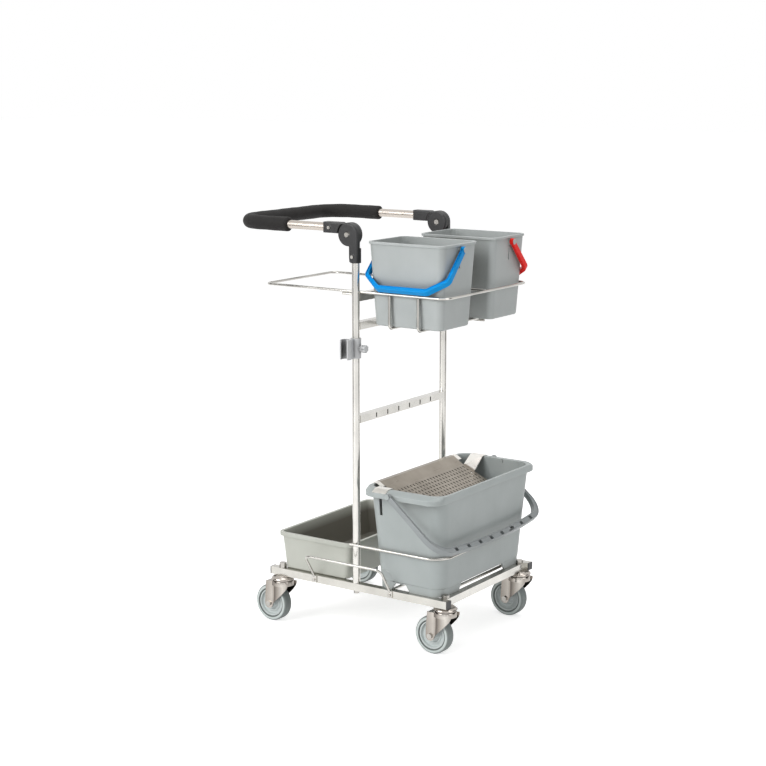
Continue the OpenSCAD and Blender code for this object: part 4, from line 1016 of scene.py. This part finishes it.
# %% Model the hinge knuckles
half_depth = 14.0
cheek_gap = 0.2
post_x = 43
handle_half_width = 206.0
handle_height = 1070.0
post_bore, tube_bore = 10.15, 11.15
pad_radius, pad_height, pad_depth = 7, 1.5, 5
for side, side_name in sides:
    middle = side * handle_half_width
    outside = middle + side * half_depth
    pad_y = outside + side * pad_height
    pad_push = (0, -side * pad_depth, 0)

    post_knuckle = pillow_block("hinge_socket_" + side_name, socket_outline, outside,
                                middle + side * cheek_gap, 4.5)
    barrel = [(post_x + half_depth * math.sin(t), middle + side * half_depth * math.cos(t), 984)
              for t in [math.pi * (i - 20) / 20 for i in range(40)]]
    carve(post_knuckle, [prism(barrel, (0, 0, 37)), rod((post_x, pad_y, 1000), pad_push, pad_radius)], "UNION")
    carve(post_knuckle, [rod((post_x, middle, 980), (0, 0, 38), post_bore)])
    moulded_edges(post_knuckle, 0.8, 40)
    settle(post_knuckle, black_paint, "black_plastic", "frame", "hinge_post_socket_" + side_name)
    arm_knuckle = pillow_block("hinge_knuckle_" + side_name, arm_outline, outside,
                               middle - side * half_depth, 4.0, 4.0)
    inner_cheek = pillow_block("cutter", inner_outline, middle - side * 13, middle - side * cheek_gap, 4.0)
    web = prism([(x, middle - side * 1.2, z) for x, z in web_outline], (0, -side * 10.5, 0))
    carve(arm_knuckle, [inner_cheek, web, rod((-29, pad_y, handle_height), pad_push, pad_radius)], "UNION")
    nut_pocket = rod((hinge_x, middle - side * 7, hinge_z), (0, -side * 12, 0), 8.6)
    carve(arm_knuckle, [rod((-60, middle, handle_height), (52, 0, 0), tube_bore), nut_pocket])
    moulded_edges(arm_knuckle, 0.8, 40)
    settle(arm_knuckle, black_paint, "black_plastic", "handle", "hinge_arm_" + side_name)

# %% [markdown]
# ## The foam grip
# The grip is a foam sleeve pushed over the handle's bend. Its route follows the tube's centre line: one
# straight, a quarter bend and half of the cross piece, and then the same mirrored.

# %% Follow the handle's centre line
handle_rear = -331.8
handle_bend = 72.0
grip_end = -165.0


def grip_route(spacing=3.0):
    """Points and headings along the U of the handle, in millimetres, from the near end to the far end."""
    route = []
    straight = grip_end - handle_rear - handle_bend
    steps = int(straight / spacing)
    for i in range(steps):
        route.append((Vector((grip_end - straight * i / steps, -handle_half_width, handle_height)),
                      Vector((-1, 0, 0))))
    arc_steps = int(handle_bend * math.pi / 2 / spacing)
    centre = Vector((handle_rear + handle_bend, handle_bend - handle_half_width, handle_height))
    for i in range(arc_steps):
        turn = math.pi / 2 * i / arc_steps
        route.append((centre + handle_bend * Vector((-math.sin(turn), -math.cos(turn), 0)),
                      Vector((-math.cos(turn), math.sin(turn), 0))))
    cross = handle_half_width - handle_bend
    cross_steps = int(cross / spacing)
    for i in range(cross_steps):
        route.append((Vector((handle_rear, -cross + cross * i / cross_steps, handle_height)),
                      Vector((0, 1, 0))))
    mirrored = [(Vector((place.x, -place.y, place.z)), Vector((-way.x, way.y, way.z))) for place, way in route]
    return route + [(Vector((handle_rear, 0, handle_height)), Vector((0, 1, 0)))] + mirrored[::-1]


route = grip_route()
travelled = [0.0]
for before, after in zip(route, route[1:]):
    travelled.append(travelled[-1] + (after[0] - before[0]).length)
grip_length = travelled[-1]
print("grip length mm:", round(grip_length))

# %% [markdown]
# Foam has no crisp edge: its ends are cut and then relax into a round, and its surface is never quite
# straight. A ring of points is swept along the route, its radius breathing a little, and a second skin
# inside leaves the bore for the tube, so the sleeve is one closed body.

# %% Build the sleeve
grip_radius = 19.0
end_rounding = 5.0


def sleeve_radius(distance):
    end_gap = min(distance, grip_length - distance)
    edge = 0.0
    if end_gap < end_rounding:
        edge = end_rounding - math.sqrt(end_rounding ** 2 - (end_rounding - end_gap) ** 2)
    breathing = 0.22 * math.sin(distance / 17) + 0.16 * math.sin(distance / 7.3 + 1)
    return grip_radius - 0.4 + breathing - 0.8 * edge


def ring_of_points(place, way, radius):
    up = axes[2]
    side = up.cross(way)
    return [place + radius * (math.cos(t) * side + math.sin(t) * up) for t in full_turn(40)]


outer = [ring_of_points(place, way, sleeve_radius(s)) for (place, way), s in zip(route, travelled)]
inner = [ring_of_points(place, way, tube_bore) for place, way in route]
grip = ring_body("grip_sleeve", outer + inner[::-1], closed=True)
smooth_shading(grip, 50)
settle(grip, foam_paint, "foam", "handle", "handle_grip")

# %% [markdown]
# ## Finish
# The last line sets the view transform to Standard.

# %% Finish
bpy.context.scene.view_settings.view_transform = "Standard"
